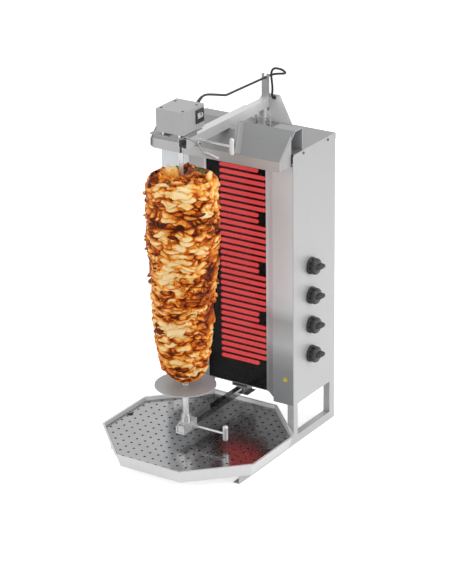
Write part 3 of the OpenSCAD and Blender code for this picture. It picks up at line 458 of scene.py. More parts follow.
# %% Steel finishes
MATT, SATIN, SMOOTH = (0.5, 0.6), (0.45, 0.56), (0.36, 0.48)
# The side frame's tone by height is a painted reflection that is lighter low down, and the front
# sheet's is a painted reflection that is darker low down.
FRAME_PAINTED_REFLECTION = [(0.1, 1.0), (0.5, 0.96), (1.0, 0.84)]
FRONT_PAINTED_REFLECTION = [(0.24, 0.4), (0.286, 0.53), (0.325, 0.77), (0.363, 0.7), (0.402, 0.6), (0.441, 0.92),
               (0.49, 1.0), (0.675, 0.96), (0.87, 0.9)]
# Each sheet's base grey and metal weight below were set to how light or dark that part looks, so these
# greys of one steel are partly painted light and shade: the back plate gets a near-white matt grey
# that makes up for the shade it lies in, and the front sheet a blue tint that offsets the warm light
# of the glowing bars.
sheet_upright = brushed_steel("brushed sheet upright", (0.6, 0.6, 0.605), "z", weight=0.6)
frame_sheet_painted_reflection = painted_reflection_by_height(
    brushed_steel("brushed side frame, painted reflection", (0.54, 0.54, 0.542), "z", weight=0.5), FRAME_PAINTED_REFLECTION)
sheet_across = brushed_steel("brushed sheet across", (0.31, 0.31, 0.312), "x", weight=0.6)
front_sheet_painted_reflection = painted_reflection_by_height(
    brushed_steel("brushed front sheet, painted reflection", (0.8, 0.838, 0.862), "z", MATT, streak=0.02, weight=0.3),
    FRONT_PAINTED_REFLECTION)
back_plate_painted_light = brushed_steel("brushed back plate, painted light", (0.96, 0.96, 0.96), "z", MATT, streak=0.015,
                           weight=0.0)
end_sheet = brushed_steel("brushed hood end", (0.4, 0.4, 0.402), "z", weight=0.4)
casing_sheet = brushed_steel("brushed casing sheet", (0.39, 0.39, 0.392), "z", SATIN, weight=0.5)
tube_deep = brushed_steel("brushed tube", (0.65, 0.65, 0.653), "y", SMOOTH, weight=0.6)
spit_steel = brushed_steel("turned spit steel", (0.66, 0.66, 0.665), "z", (0.25, 0.35))
mirror_tube = brushed_steel("polished tube", (0.36, 0.36, 0.365), "y", (0.1, 0.16), streak=0.01,
                            weight=1.0)
dress(frame_sheet_painted_reflection, "side_frame_right", "side_frame_left", "cord_fork")
dress(sheet_upright, "back_panel", "arm_post")
dress(front_sheet_painted_reflection, "front_panel_right", "front_panel_left")
dress(back_plate_painted_light, "arm_back_plate")
dress(casing_sheet, "motor_casing", "motor_lid")
dress(sheet_across, "bottom_plate", "top_cover", "motor_plate", "lower_guide_bracket")
dress(mirror_tube, "lower_guide_tube")
dress(tube_deep, "upper_guide_tube", "upper_arm_tube", "lower_carriage")
dress(spit_steel, "spit_rod", "spit_bearing", "motor_spacers")
print("materials so far:", len(bpy.data.materials))

# %% [markdown]
# ## The hood's painted reflections
# One folded sheet shows several tones, because its faces mirror different things: the upright front
# edge sees the bright room, the slanted plate sees the darker space above, and the flat ears lie
# between them. These reflections are painted: the same brushed steel is used, and its colour is
# lowered by how far a face leans back, which is the upward part of its normal.


# %% Hood finish with painted reflection
# Painted reflection: the tone that each face gets by how far it leans back.
LEAN_PAINTED_REFLECTION = [(0.05, 1.0), (0.3, 0.72), (0.6, 0.5), (0.75, 0.5), (0.95, 0.66)]


def hood_steel_painted_reflection():
    material = brushed_steel("brushed hood sheet, painted reflection", (0.5, 0.505, 0.51), "x", SATIN, weight=0.35)
    tree = material.node_tree
    shader = tree.nodes["Principled BSDF"]
    facing = node(tree, "ShaderNodeNewGeometry")
    split = node(tree, "ShaderNodeSeparateXYZ")
    tree.links.new(facing.outputs["True Normal"], split.inputs[0])
    painted_tones = ramp(tree, split.outputs["Z"], [(lean, (tone, tone, tone)) for lean, tone in LEAN_PAINTED_REFLECTION])
    painted_light_multiply(tree, shader, painted_tones)
    return material


dress(hood_steel_painted_reflection(), "hood")
print("hood tones:", LEAN_PAINTED_REFLECTION)

# %% [markdown]
# ## Small plates
# Two plates close the ends of the hood between its front edge and the cabinet, and a plug closes the
# front of the lower guide tube. Each is a flat outline that is pulled to its thickness.


# %% Plate helper
def flat_plate(name, corners, pull):
    bm = bmesh.new()
    face = bm.faces.new([bm.verts.new(corner) for corner in corners])
    pulled = bmesh.ops.extrude_face_region(bm, geom=[face])["geom"]
    bmesh.ops.translate(bm, verts=[g for g in pulled if isinstance(g, bmesh.types.BMVert)], vec=pull)
    return mesh_from(bm, name, smooth=False)


print("plate helper ready")

# %% Hood ends and guide plug
PLATE_THICK, END_INSET, SLANT_GAP, PLUG_GAP = 0.0015, 0.0006, 0.004, 0.0002
FASCIA_HIGH, CORNER_CUT, EDGE_GAP = 0.031, 0.009, 0.001
hood_low, hood_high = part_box("hood")
cabinet_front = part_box("front_panel_right")[0][1]
front, low = hood_low[1] + PLATE_THICK, hood_low[2] + EDGE_GAP
fascia_top = hood_low[2] + FASCIA_HIGH
slant_top = fascia_top + cabinet_front - front - SLANT_GAP
for side, name in ((1, "hood_end_right"), (-1, "hood_end_left")):
    x = side * (hood_high[0] - END_INSET)
    outline = [(front, low + CORNER_CUT), (front + CORNER_CUT, low), (cabinet_front, low),
               (cabinet_front, slant_top), (front, fascia_top - EDGE_GAP)]
    end = flat_plate(name, [(x, y, z) for y, z in outline], (-side * PLATE_THICK, 0, 0))
    end.data.materials.append(end_sheet)
    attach(end, "cabinet")
guide_low, guide_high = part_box("lower_guide_tube")
half = (guide_high[2] - guide_low[2]) / 2
guide_z = (guide_high[2] + guide_low[2]) / 2
plug_back = guide_low[1] - PLUG_GAP
square = [(-half, -half), (half, -half), (half, half), (-half, half)]
plug = flat_plate("guide_plug", [(x, plug_back, guide_z + z) for x, z in square],
                  (0, -PLATE_THICK, 0))
plug.data.materials.append(tube_deep)
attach(plug, "cabinet")
print("hood ends at", round(hood_high[0], 4), "plug at", round(plug_back, 4))

# %% [markdown]
# ## Tray and plate
# The pan is folded from bright sheet. The perforated plate in it is polished, so the glowing bars
# show in it as a red patch. A low roughness with faint wiping marks gives that blurred mirror.


# %% Tray finish
def polished_plate():
    material, tree, shader = new_material("polished plate")
    wipes = grain(tree, 7, (1, 3, 1), detail=6, rough=0.65)
    tone = ramp(tree, wipes, [(0.3, (0.37, 0.37, 0.375)), (0.7, (0.43, 0.43, 0.435))])
    tree.links.new(tone, shader.inputs["Base Color"])
    tree.links.new(span(tree, wipes, 0.17, 0.24), shader.inputs["Roughness"])
    shader.inputs["Metallic"].default_value = 1
    bump(tree, shader, wipes, 0.02, 0.0003)
    return material


pan_steel = brushed_steel("bright pan", (0.71, 0.71, 0.715), "z", (0.4, 0.5), streak=0.012,
                          weight=0.4)
dress(pan_steel, "drip_tray")
dress(polished_plate(), "perforated_plate")
disc_steel = brushed_steel("disc under the meat", (0.42, 0.445, 0.46), "x", (0.4, 0.5), weight=0.3)
dress(disc_steel, "spit_disc", "disc_collar")

# %% [markdown]
# ## The heater
# Behind black glass lies a dark fibre board with thin metal ribbons that glow red. Real glass over
# the bars darkens everything but the glow, so the glass is a dark material that is partly see-through
# by its Alpha. The bars shine by themselves with a slight flicker along them, and the polished plate
# in the tray mirrors them.


# %% Heater finishes
GLASS_ALPHA, GLASS_GLOSS, GLOW_STRENGTH = 0.42, 0.13, 1.75


def smoked_glass():
    material, tree, shader = new_material("smoked glass")
    shader.inputs["Base Color"].default_value = (0.012, 0.013, 0.014, 1)
    smudge = grain(tree, 5, (1, 1, 0.6), detail=4)
    tree.links.new(span(tree, smudge, 0.05, 0.14), shader.inputs["Roughness"])
    shader.inputs["Alpha"].default_value = GLASS_ALPHA
    shader.inputs["Specular IOR Level"].default_value = GLASS_GLOSS
    material.surface_render_method = "BLENDED"
    return material


def glowing_ribbon():
    material, tree, shader = new_material("glowing ribbon")
    flicker = grain(tree, 9, (1, 1, 6), detail=3)
    hot = ramp(tree, flicker, [(0.3, (0.9, 0.075, 0.075)), (0.7, (1.0, 0.1, 0.1))])
    tree.links.new(hot, shader.inputs["Base Color"])
    tree.links.new(hot, shader.inputs["Emission Color"])
    shader.inputs["Emission Strength"].default_value = GLOW_STRENGTH
    shader.inputs["Roughness"].default_value = 0.6
    return material


def fibre_board():
    material, tree, shader = new_material("fibre board")
    fibres = grain(tree, 60, (1, 1, 0.4), detail=6)
    tone = ramp(tree, fibres, [(0.3, (0.016, 0.015, 0.016)), (0.7, (0.035, 0.03, 0.03))])
    tree.links.new(tone, shader.inputs["Base Color"])
    shader.inputs["Roughness"].default_value = 0.85
    bump(tree, shader, fibres, 0.3, 0.0008)
    return material


dress(smoked_glass(), "heater_glass")
dress(glowing_ribbon(), *[f"heating_bars_{k}" for k in range(1, 5)])
dress(fibre_board(), "heating_board", "heater_box")
print("glass, bars and board dressed, glow", GLOW_STRENGTH)

# %% [markdown]
# ## Moulded plastic, rubber and bright rods
# Knobs, glands and the switch are moulded. Moulded plastic is never one flat black: it has a fine
# spark-eroded texture that catches light. The clamp handles and the lever are bright turned steel, and
# the recessed screws are given a dark grey that paints the shade in their recesses.


# %% Moulded finishes
def moulded(name, colour, roughness=0.45, texture=900):
    material, tree, shader = new_material(name)
    pits = grain(tree, texture, (1, 1, 1), detail=2)
    low = [c * 0.8 for c in colour]
    high = [min(1, c * 1.25 + 0.004) for c in colour]
    tree.links.new(ramp(tree, pits, [(0.3, low), (0.7, high)]), shader.inputs["Base Color"])
    tree.links.new(span(tree, pits, roughness - 0.08, roughness + 0.08), shader.inputs["Roughness"])
    bump(tree, shader, pits, 0.15, 0.0001)
    return material


black_plastic = moulded("black moulding", (0.022, 0.022, 0.024))
switch_black = moulded("switch moulding", (0.012, 0.012, 0.013), roughness=0.3)
rocker_grey = moulded("light rocker", (0.52, 0.53, 0.54), roughness=0.35)
lens_yellow = moulded("yellow lens", (0.72, 0.58, 0.04), roughness=0.2)
terminal_white = moulded("terminal ceramic", (0.8, 0.78, 0.74), roughness=0.5, texture=300)
housing_cream = moulded("regulator housing", (0.6, 0.57, 0.5), roughness=0.5, texture=300)
cast_grey = moulded("motor housing", (0.2, 0.2, 0.21), roughness=0.6, texture=200)
shaft_black = moulded("blackened shaft", (0.02, 0.02, 0.022), roughness=0.35, texture=500)
rod_steel = brushed_steel("bright rod", (0.6, 0.6, 0.6), "x", (0.28, 0.4), streak=0.03)
# The screws' dark grey is painted shade of their recesses.
screw_steel_painted_shade = brushed_steel("screw steel, painted shade", (0.13, 0.13, 0.135), "x", (0.25, 0.4), streak=0.04)
lead_rubber = moulded("rubber lead", (0.014, 0.014, 0.015), roughness=0.5, texture=1200)
for piece in (cord, front_sleeve, rear_sleeve):
    piece.data.materials.append(lead_rubber)
dress(black_plastic, "mains_gland", "cord_gland")
dress(switch_black, "switch_frame")
dress(rocker_grey, "switch_rocker")
dress(lens_yellow, "indicator_lamp")
dress(terminal_white, "terminal_block")
dress(housing_cream, *[f"regulator_{k}" for k in range(1, 5)])
dress(cast_grey, "drive_motor", "gearbox")
dress(shaft_black, "drive_shaft")
dress(rod_steel, "release_lever", "upper_clamp_handle", "lower_clamp_handle")
dress(screw_steel_painted_shade, "panel_screws", "lid_screws")
print("materials so far:", len(bpy.data.materials))

# %% [markdown]
# ## The stack of meat
# Thin slices are pushed on the spit one by one and roast from outside, so the real surface is a
# wall of overlapping flaps, each about five centimetres wide and one and a half high, with smaller
# scraps on them. Their middles stay pale or golden, their rims brown, and the gaps between them go
# nearly black. The stack is a rounded cone that starts a little above its disc and ends below the
# motor's shaft: LOW_GAP and TOP_DROP set how far its ends lie inside the solid. A plain lathe shape
# gives the cone, from an outline of (share of the height, share of the radius).

# %% Meat: the lathe shape
SPIT_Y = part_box("meat_stack")[0][1] / 2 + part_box("meat_stack")[1][1] / 2
LOW_GAP, TOP_DROP = 0.026, 0.02
BORE = 0.0076
MEAT_LOW, MEAT_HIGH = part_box("meat_stack")[0][2] + LOW_GAP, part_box("meat_stack")[1][2] - TOP_DROP
MEAT_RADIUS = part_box("meat_stack")[1][0]
OUTLINE = [(0, 0.4), (0.012, 0.5), (0.03, 0.57), (0.06, 0.63), (0.11, 0.69), (0.16, 0.745),
           (0.22, 0.79), (0.3, 0.82), (0.38, 0.84), (0.45, 0.88), (0.54, 0.92), (0.64, 0.95),
           (0.75, 0.98), (0.85, 1), (0.95, 0.99), (0.985, 0.93), (1, 0.85)]
ROWS, STEPS, CAP_RINGS, FOOT_RINGS = 268, 290, 14, 8


def outline_radius(share):
    for (low, r_low), (high, r_high) in zip(OUTLINE, OUTLINE[1:]):
        if share <= high:
            return MEAT_RADIUS * (r_low + (r_high - r_low) * (share - low) / (high - low))
    return MEAT_RADIUS * OUTLINE[-1][1]


def lathe_profile():
    height = MEAT_HIGH - MEAT_LOW
    side = [(outline_radius(k / ROWS), MEAT_LOW + height * k / ROWS) for k in range(ROWS + 1)]
    foot, head = side[0][0], side[-1][0]
    cap_low = [(BORE + (foot - BORE) * k / FOOT_RINGS, MEAT_LOW) for k in range(FOOT_RINGS)]
    cap_high = [(head + (BORE - head) * k / CAP_RINGS, MEAT_HIGH) for k in range(1, CAP_RINGS + 1)]
    return cap_low + side + cap_high


def spun(profile, centre, steps):
    """Turns a closed chain of (radius, height) points once round an upright axis."""
    bm = bmesh.new()
    verts = [bm.verts.new((centre[0] + r, centre[1], z)) for r, z in profile]
    edges = [bm.edges.new(pair) for pair in zip(verts, verts[1:] + verts[:1])]
    bmesh.ops.spin(bm, geom=verts + edges, cent=(*centre, 0), axis=(0, 0, 1), angle=2 * math.pi,
                   steps=steps, use_merge=True)
    return bm


meat_bm = spun(lathe_profile(), (0, SPIT_Y), STEPS)
print("meat lathe:", len(meat_bm.verts), "points")

# %% [markdown]
# ## Flaps and crevices
# Every point of the lathe shape is pushed in or out. A Voronoi pattern divides space into cells about
# three times wider than high, and each cell is one flap with its own height and tilt. A second, finer
# pattern adds scraps where the first is torn. Before that the place is bent by noise, so that no rim
# is straight. The same cell values are kept as two attributes, a tone and a crevice value, so that
# colour and relief agree; the crevice value is painted shade in the gaps, with some char. The tone
# also holds painted light: the side of the stack that faces the camera is made paler and the far side
# darker. In a noise call, the number beside the place says how fine the pattern is, and the number
# after the call says how much it adds.


# %% Cell pattern
FLAP_WIDE, FLAP_HIGH = 0.052, 0.016
SCRAP_WIDE, SCRAP_HIGH, SCRAP_SHIFT = 0.02, 0.0085, 31
RIM_WIDTH = 0.27


def smooth_step(low, high, value):
    t = max(0.0, min(1.0, (value - low) / (high - low)))
    return t * t * (3 - 2 * t)


def cells(point, wide, high, shift):
    """One size of cell: how high its flap lies, how it tilts, and 0 at its rim to 1 in the middle."""
    q = Vector((point.x / wide, point.y / wide, point.z / high)) + Vector((shift, shift, shift))
    gaps, seeds = noise.voronoi(q)
    own = noise.noise(seeds[0] * 3.71 + Vector((5, 9, 2)))
    tilt = (q - seeds[0]).dot(noise.noise_vector(seeds[0] * 5.3))
    return own, tilt, smooth_step(0.0, RIM_WIDTH, gaps[1] - gaps[0])


print("flap", FLAP_WIDE, "by", FLAP_HIGH, "m, scrap", SCRAP_WIDE, "by", SCRAP_HIGH, "m")

# %% Meat: relief, tone and crevices
FLAP_LIFT, FLAP_TILT, FLAP_RIM = 0.008, 0.005, 0.005
SCRAP_LIFT, SCRAP_RIM, RIM_LEVEL = 0.004, 0.003, 0.7
SWELL, CAP_SWELL, CAP_SINK, FOOT_SWELL = 0.008, 0.03, 0.008, 0.01
# The side that faces the camera and how much paler it gets: painted light on the stack.
PAINTED_LIGHT_SIDE, PAINTED_LIGHT_TONE, MIDDLE_TONE = math.radians(-64), 0.26, 0.2
SCRAP_SHADE = 0.75

tone_and_painted_light_layer = meat_bm.verts.layers.float.new("tone")
crevice_shade_and_char_layer = meat_bm.verts.layers.float.new("crevice_shade_and_char")
for vert in meat_bm.verts:
    at = vert.co - Vector((0, SPIT_Y, 0))
    radius = math.hypot(at.x, at.y)
    if radius < BORE * 1.2:
        continue
    # the cells, at a place that is bent first
    bent = at + noise.noise_vector(at * 15) * 0.018 + noise.noise_vector(at * 44) * 0.008
    own, tilt, rim = cells(bent, FLAP_WIDE, FLAP_HIGH, 0)
    frayed = bent + noise.noise_vector(at * 90) * 0.003
    scrap, _, scrap_rim = cells(frayed, SCRAP_WIDE, SCRAP_HIGH, SCRAP_SHIFT)
    torn = smooth_step(-0.15, 0.3, noise.noise(at * 19 + Vector((4, 4, 1))))
    relief = FLAP_LIFT * own + FLAP_TILT * tilt + FLAP_RIM * (rim - RIM_LEVEL)
    relief += torn * (SCRAP_LIFT * scrap + SCRAP_RIM * (scrap_rim - RIM_LEVEL))
    # the point is pushed outwards on the side and upwards on the cap, and stays put at the foot
    fine = noise.noise(at * 160) * 0.0012 + noise.noise(at * 420) * 0.0006
    swell = noise.noise(at * 9 + Vector((3, 1, 7))) * SWELL
    out = Vector((at.x, at.y, 0)).normalized()
    on_cap = smooth_step(0.006, 0.0, MEAT_HIGH - vert.co.z) * smooth_step(BORE, 0.05, radius)
    seat = smooth_step(0.0, 0.02, vert.co.z - MEAT_LOW)
    vert.co += out * (relief + swell + fine) * (1 - on_cap) * (0.45 + 0.55 * seat)
    vert.co.z -= max(0, relief) * 0.5 * seat * (1 - on_cap)
    vert.co.z += (1 - seat) * noise.noise(at * 40) * FOOT_SWELL * smooth_step(BORE, 0.04, radius)
    vert.co.z += on_cap * (relief * 1.8 + noise.noise(at * 26) * CAP_SWELL - CAP_SINK)
    # the two attributes for the colours
    # painted light: the side facing the camera is paler, the far side darker
    painted_lit_share = math.cos(math.atan2(at.y, at.x) - PAINTED_LIGHT_SIDE)
    patchy = noise.noise(at * 12 + Vector((8, 2, 4)))
    streaky = noise.noise(Vector((at.x * 26, at.y * 26, at.z * 62)))
    vert[tone_and_painted_light_layer] = (MIDDLE_TONE + 0.5 * own + 0.42 * patchy + 0.3 * streaky
                        + PAINTED_LIGHT_TONE * painted_lit_share * abs(painted_lit_share)
                        + torn * (0.35 * scrap - 0.06) + 0.12 * noise.noise(at * 80))
    shade = 0.35 + 0.65 * smooth_step(-0.3, 0.25, noise.noise(at * 23 + Vector((1, 6, 2))))
    # the crevice value darkens the gaps between flaps and scraps: painted shade, with some char
    vert[crevice_shade_and_char_layer] = max((1 - rim) * shade, (1 - scrap_rim) * torn * SCRAP_SHADE)

meat = mesh_from(meat_bm, "meat_slices")
print("meat faces:", len(meat.data.polygons))


# %% [markdown]
# ## Colours of the roast
# The two attributes and two noise patterns are added up to one factor: tone and fibres raise it,
# crevices lower it. The crevice darkening is painted shade in the gaps between flaps, with some char,
# and the tone holds painted light on the side that faces the camera. A ramp turns the factor into
# colour, from a burnt red brown over orange to the pale yellow of fresh slices. Fat gives a warm, weak
# gloss.


# %% Meat: colours
# The third share darkens the gaps between flaps: painted shade, with some char.
FIBRE_SHARE, BROAD_SHARE, SHADE_AND_CHAR_SHARE = 0.5, 0.45, -0.62
ROAST = [(0.1, (0.06, 0.006, 0.001)), (0.27, (0.24, 0.028, 0.002)), (0.43, (0.47, 0.078, 0.005)),
         (0.58, (0.72, 0.19, 0.016)), (0.72, (0.93, 0.37, 0.05)), (0.86, (1.0, 0.58, 0.16)),
         (1.0, (1.0, 0.76, 0.4))]


def add_share(tree, factor, share, base):
    """base plus a share of factor."""
    total = node(tree, "ShaderNodeMath", operation="MULTIPLY_ADD")
    tree.links.new(factor, total.inputs[0])
    total.inputs[1].default_value = share
    tree.links.new(base, total.inputs[2])
    return total.outputs[0]


def roast():
    material, tree, shader = new_material("roast slices")
    tone = node(tree, "ShaderNodeAttribute", attribute_name="tone").outputs["Fac"]
    # the crevice attribute: painted shade in the gaps, with some char
    shade_and_char = node(tree, "ShaderNodeAttribute", attribute_name="crevice_shade_and_char").outputs["Fac"]
    fibres = grain(tree, 60, (1, 1, 2.6), detail=5, rough=0.65)
    broad = grain(tree, 21, (1, 1, 1.8), detail=4)
    total = add_share(tree, fibres, FIBRE_SHARE, tone)
    total = add_share(tree, broad, BROAD_SHARE, total)
    total = add_share(tree, shade_and_char, SHADE_AND_CHAR_SHARE, total)
    colour = ramp(tree, total, ROAST)
    tree.links.new(colour, shader.inputs["Base Color"])
    tree.links.new(span(tree, fibres, 0.3, 0.6), shader.inputs["Roughness"])
    shader.inputs["Subsurface Weight"].default_value = 0.12
    shader.inputs["Subsurface Radius"].default_value = (0.01, 0.004, 0.002)
    shader.inputs["Specular IOR Level"].default_value = 0.25
    shader.inputs["Specular Tint"].default_value = (1, 0.5, 0.22, 1)
    shader.inputs["Coat Weight"].default_value = 0.06
    shader.inputs["Coat Roughness"].default_value = 0.2
    bump(tree, shader, fibres, 0.5, 0.0015)
    return material


roasted = roast()
meat.data.materials.append(roasted)
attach(meat, "spit")
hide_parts("meat_stack")
print("roast tones:", len(ROAST))

# %% [markdown]
# ## Loose ends of the stack
# Small flaps stick out of the wall and lie about on the top, and a few herb leaves peep out under
# the top slices. Each is a small ball pressed flat and pulled about by noise. All flaps are one
# mesh, because they are one kind of thing and share the colours of the big piece.

# %% Small flaps
CHANCE_SEED = 41
chance = random.Random(CHANCE_SEED)
EDGE_FLAPS, EDGE_SEAT = 120, 0.004
EDGE_SHARE, EDGE_STAGGER, EDGE_LEAN = (0.02, 0.96), (-0.003, 0.003), (0.15, 0.75)
EDGE_SIZE, EDGE_TONE = ((0.008, 0.014), (0.012, 0.024), (0.003, 0.0055)), (-0.25, 0.5)
TOP_FLAPS = 46
TOP_REACH, TOP_DEPTH, TOP_LEAN = (0.026, 0.084), (0.006, 0.016), (-0.5, 0.5)
TOP_SIZE, TOP_TONE = ((0.012, 0.024), (0.01, 0.018), (0.004, 0.009)), (-0.3, 0.3)


def add_lump(bm, place, size, turn, seed, layers, tone):
    """A ball pressed to size, pulled about by noise, turned and put in its place."""
    made = bmesh.ops.create_icosphere(bm, subdivisions=3, radius=1)["verts"]
    for vert in made:
        push = 1 + 0.35 * noise.noise(vert.co * 1.6 + Vector((seed, 0, 0)))
        push += 0.12 * noise.noise(vert.co * 5 + Vector((0, seed, 0)))
        wave = 0.3 * noise.noise(Vector((vert.co.x * 1.5 + seed, vert.co.y * 1.5, 0)))
        local = Vector((vert.co.x * size[0] * push, vert.co.y * size[1] * push,
                        (vert.co.z * push + wave * 2) * size[2]))
        vert[layers[0]] = tone + 0.3 * noise.noise(vert.co * 2 + Vector((0, 0, seed)))
        # the second layer darkens the rim of each small flap: painted shade, with some char
        vert[layers[1]] = 0.55 * smooth_step(0.55, 1.0, math.hypot(vert.co.x, vert.co.y))
        vert.co = turn @ local + place


flaps_bm = bmesh.new()
flap_layers = (flaps_bm.verts.layers.float.new("tone"), flaps_bm.verts.layers.float.new("crevice_shade_and_char"))
for index in range(EDGE_FLAPS):
    share = chance.uniform(*EDGE_SHARE)
    angle = chance.uniform(0, 2 * math.pi)
    reach = outline_radius(share) - EDGE_SEAT + chance.uniform(*EDGE_STAGGER)
    place = Vector((math.cos(angle) * reach, SPIT_Y + math.sin(angle) * reach,
                    MEAT_LOW + share * (MEAT_HIGH - MEAT_LOW)))
    turn = Matrix.Rotation(angle, 3, "Z") @ Matrix.Rotation(chance.uniform(*EDGE_LEAN), 3, "Y")
    size = [chance.uniform(*limits) for limits in EDGE_SIZE]
    add_lump(flaps_bm, place, size, turn, index * 3.1, flap_layers, chance.uniform(*EDGE_TONE))
for index in range(TOP_FLAPS):
    angle = chance.uniform(0, 2 * math.pi)
    reach = chance.uniform(*TOP_REACH)
    place = Vector((math.cos(angle) * reach, SPIT_Y + math.sin(angle) * reach,
                    MEAT_HIGH - chance.uniform(*TOP_DEPTH)))
    turn = (Matrix.Rotation(chance.uniform(0, 6.28), 3, "Z")
            @ Matrix.Rotation(chance.uniform(*TOP_LEAN), 3, "Y"))
    size = [chance.uniform(*limits) for limits in TOP_SIZE]
    add_lump(flaps_bm, place, size, turn, 500 + index * 2.3, flap_layers, chance.uniform(*TOP_TONE))
flaps = mesh_from(flaps_bm, "meat_flaps")
flaps.data.materials.append(roasted)
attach(flaps, "spit")
print("small flaps:", EDGE_FLAPS + TOP_FLAPS)

# %% [markdown]
# ## Two pale lumps on top
# An upright piece leans on the spit's rod, and a flat one lies in front of it. They are made as the
# flaps are, only larger and paler. They are one mesh.

# %% Pale lumps beside the spit
UPRIGHT_SIZE, UPRIGHT_TONE = (0.021, 0.013, 0.027), 0.6
FLAT_SIZE, FLAT_TONE = (0.026, 0.014, 0.008), 0.3
chunk_bm = bmesh.new()
chunk_layers = (chunk_bm.verts.layers.float.new("tone"), chunk_bm.verts.layers.float.new("crevice_shade_and_char"))
add_lump(chunk_bm, Vector((-0.02, SPIT_Y - 0.024, MEAT_HIGH + 0.002)), UPRIGHT_SIZE,
         Matrix.Rotation(0.4, 3, "Z"), 7.7, chunk_layers, UPRIGHT_TONE)
add_lump(chunk_bm, Vector((0.03, SPIT_Y - 0.07, MEAT_HIGH - 0.004)), FLAT_SIZE,
         Matrix.Rotation(-0.3, 3, "Y"), 3.3, chunk_layers, FLAT_TONE)
chunk = mesh_from(chunk_bm, "meat_chunk")
chunk.data.materials.append(roasted)
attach(chunk, "spit")
print("chunk points:", len(chunk.data.vertices))

# %% [markdown]
# ## Herb leaves
# A leaf is a circle with one inset ring, so that its middle can rise. Noise frills its rim, and a
# Solidify modifier gives it a thickness. The leaves lie round the rim of the top, each at its own
# angle in degrees.

# %% Herb leaves
LEAF_LONG, LEAF_WIDE, LEAF_RISE, LEAF_THICK = 0.013, 0.008, 0.004, 0.0006
LEAF_REACH, LEAF_SCATTER, LEAF_SINK, LEAF_LEAN = 0.062, 0.014, 0.006, -0.5
LEAF_ANGLES = (122, 135, 148, 161, 175, 210, 265, 275, 80, 65, 412)


def herb_green():
    material, tree, shader = new_material("herb leaf")
    veins = grain(tree, 90, (1, 1, 1), detail=4)
    colour = ramp(tree, veins, [(0.3, (0.02, 0.075, 0.008)), (0.7, (0.07, 0.2, 0.02))])
    tree.links.new(colour, shader.inputs["Base Color"])
    shader.inputs["Roughness"].default_value = 0.5
    bump(tree, shader, veins, 0.4, 0.001)
    return material


leaves_bm = bmesh.new()
for index, degrees in enumerate(LEAF_ANGLES):
    angle = math.radians(degrees)
    reach = LEAF_REACH + LEAF_SCATTER * noise.noise(Vector((index * 2.3, 0, 0)))
    place = Vector((math.cos(angle) * reach, SPIT_Y + math.sin(angle) * reach, MEAT_HIGH - LEAF_SINK))
    ring = bmesh.ops.create_circle(leaves_bm, cap_ends=False, segments=14, radius=1)["verts"]
    face = leaves_bm.faces.new(ring)
    grown = bmesh.ops.inset_region(leaves_bm, faces=[face], thickness=0.35, depth=0.15)
    verts = {v for f in grown["faces"] for v in f.verts} | set(ring) | set(face.verts)
    for vert in verts:
        frill = 1 + 0.3 * noise.noise(vert.co * 4 + Vector((index, 0, 0)))
        lift = LEAF_RISE * noise.noise(vert.co * 2 + Vector((0, index, 0)))
        local = Vector((vert.co.x * LEAF_LONG * frill, vert.co.y * LEAF_WIDE * frill,
                        vert.co.z * LEAF_RISE + lift))
        vert.co = (Matrix.Rotation(angle, 3, "Z") @ Matrix.Rotation(LEAF_LEAN, 3, "Y")) @ local + place
leaves = mesh_from(leaves_bm, "herb_leaves")
leaves.modifiers.new("thickness", "SOLIDIFY").thickness = LEAF_THICK
leaves.data.materials.append(herb_green())
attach(leaves, "spit")
print("herb leaves:", len(LEAF_ANGLES))

# %% [markdown]
# ## Knobs
# Each knob is a black moulding: a round skirt next to the sheet, a slimmer ring with grip notches, a
# domed hub nearly as wide as the skirt, and a pointer that stands out of the hub and tapers to its
# tip. The round parts are one profile of (height over the sheet, radius) turned about the knob's
# axis, and the notches are pressed in by moving the points of that ring. The pointer starts as a flat
# outline of (place across, height over the sheet), is pulled to its thickness and gets soft edges.

# %% Knob
KNOB_PROFILE_MM = [(0, 0), (0, 26), (1.2, 27), (5.5, 27), (7, 26.2), (7.4, 24.6), (8.4, 24.2),
                   (12.6, 24.2), (13.4, 24.8), (14, 25.6), (21, 25), (24.4, 23), (26.4, 18),
                   (27, 11), (27.2, 0)]
NOTCHES, NOTCH_DEPTH = 10, 0.004
RING_FROM, RING_TO, RING_RADIUS = 0.0072, 0.0136, 0.02
POINTER_MM = [(-14, 22), (-13, 32), (-10, 36), (-4, 39), (4, 41), (14, 41), (19, 39.4), (21.5, 36),
              (22, 31), (20, 24), (17, 22)]
POINTER_THICK, POINTER_TIP_SHARE, POINTER_ROUND = 0.016, 0.55, 0.0028
TAPER_FROM, KNOB_REACH, KNOB_Y = 0.022, 0.041, 0.206
KNOB_STEPS, PROFILE_STEPS, SHARP_DEGREES = 96, 3, 50
knob_glossy = moulded("knob moulding", (0.02, 0.02, 0.021), roughness=0.25)


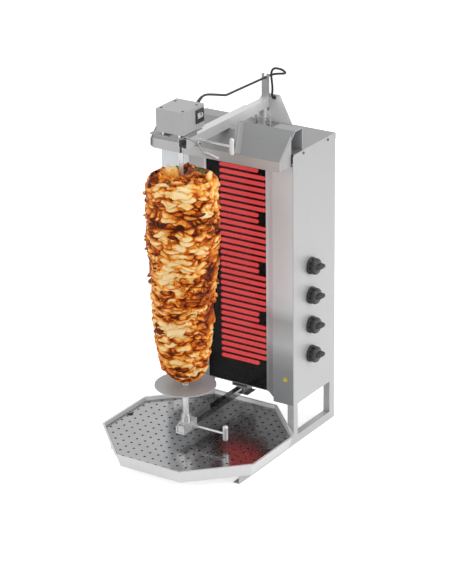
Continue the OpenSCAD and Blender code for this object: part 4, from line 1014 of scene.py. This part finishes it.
def knob_mesh(name, centre):
    bm = bmesh.new()
    fine = []
    for (x0, r0), (x1, r1) in zip(KNOB_PROFILE_MM, KNOB_PROFILE_MM[1:]):
        fine += [(x0 + (x1 - x0) * k / PROFILE_STEPS, r0 + (r1 - r0) * k / PROFILE_STEPS)
                 for k in range(PROFILE_STEPS)]
    fine.append(KNOB_PROFILE_MM[-1])
    verts = [bm.verts.new((centre.x + x / 1000, centre.y, centre.z + r / 1000)) for x, r in fine]
    edges = [bm.edges.new(pair) for pair in zip(verts, verts[1:])]
    bmesh.ops.spin(bm, geom=verts + edges, cent=centre, axis=(1, 0, 0), angle=2 * math.pi,
                   steps=KNOB_STEPS, use_merge=True)
    bmesh.ops.remove_doubles(bm, verts=bm.verts, dist=1e-6)
    for vert in bm.verts:
        depth = vert.co.x - centre.x
        radial = Vector((0, vert.co.y - centre.y, vert.co.z - centre.z))
        if RING_FROM < depth < RING_TO and radial.length > RING_RADIUS:
            wave = math.cos(NOTCHES * math.atan2(radial.z, radial.y))
            vert.co -= radial.normalized() * NOTCH_DEPTH * smooth_step(0.2, 0.75, wave)
    low_z = centre.z - POINTER_THICK / 2
    pointer = [bm.verts.new((centre.x + x / 1000, centre.y + y / 1000, low_z)) for y, x in POINTER_MM]
    side = bm.faces.new(pointer)
    pulled = bmesh.ops.extrude_face_region(bm, geom=[side])["geom"]
    moved = [g for g in pulled if isinstance(g, bmesh.types.BMVert)]
    bmesh.ops.translate(bm, verts=moved, vec=(0, 0, POINTER_THICK))
    own = set(pointer) | set(moved)
    for vert in own:
        reach = smooth_step(TAPER_FROM, KNOB_REACH, vert.co.x - centre.x)
        vert.co.z = centre.z + (vert.co.z - centre.z) * (1 + (POINTER_TIP_SHARE - 1) * reach)
    rims = [e for e in bm.edges if e.verts[0] in own and e.verts[1] in own
            and (e.verts[0].co.z > centre.z) == (e.verts[1].co.z > centre.z)]
    bmesh.ops.bevel(bm, geom=rims, offset=POINTER_ROUND, offset_type="OFFSET", segments=4,
                    profile=0.5, affect="EDGES", material=-1)
    return mesh_from(bm, name)


print("knob profile:", len(KNOB_PROFILE_MM), "points, pointer:", len(POINTER_MM))

# %% The four knobs
for index, body in enumerate("abcd"):
    low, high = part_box(f"knob_{index + 1}")
    centre = Vector((high[0] - KNOB_REACH, KNOB_Y, (low[2] + high[2]) / 2))
    knob = knob_mesh(f"control_knob_{body}", centre)
    knob.data.materials.append(knob_glossy)
    knob.modifiers.new("edge split", "EDGE_SPLIT").split_angle = math.radians(SHARP_DEGREES)
    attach(knob, f"knob_{body}")
    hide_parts(f"knob_{index + 1}")
print("knobs stand out", KNOB_REACH, "m")

# %% [markdown]
# ## Sizes
# The box of the solids and the box of what is seen are printed side by side. The dressed
# machine should be no larger than the measured one.

# %% Close
size = {"cad": [list(v) for v in solid_box], "visual": [list(v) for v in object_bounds()]}
print("sizes:", size)
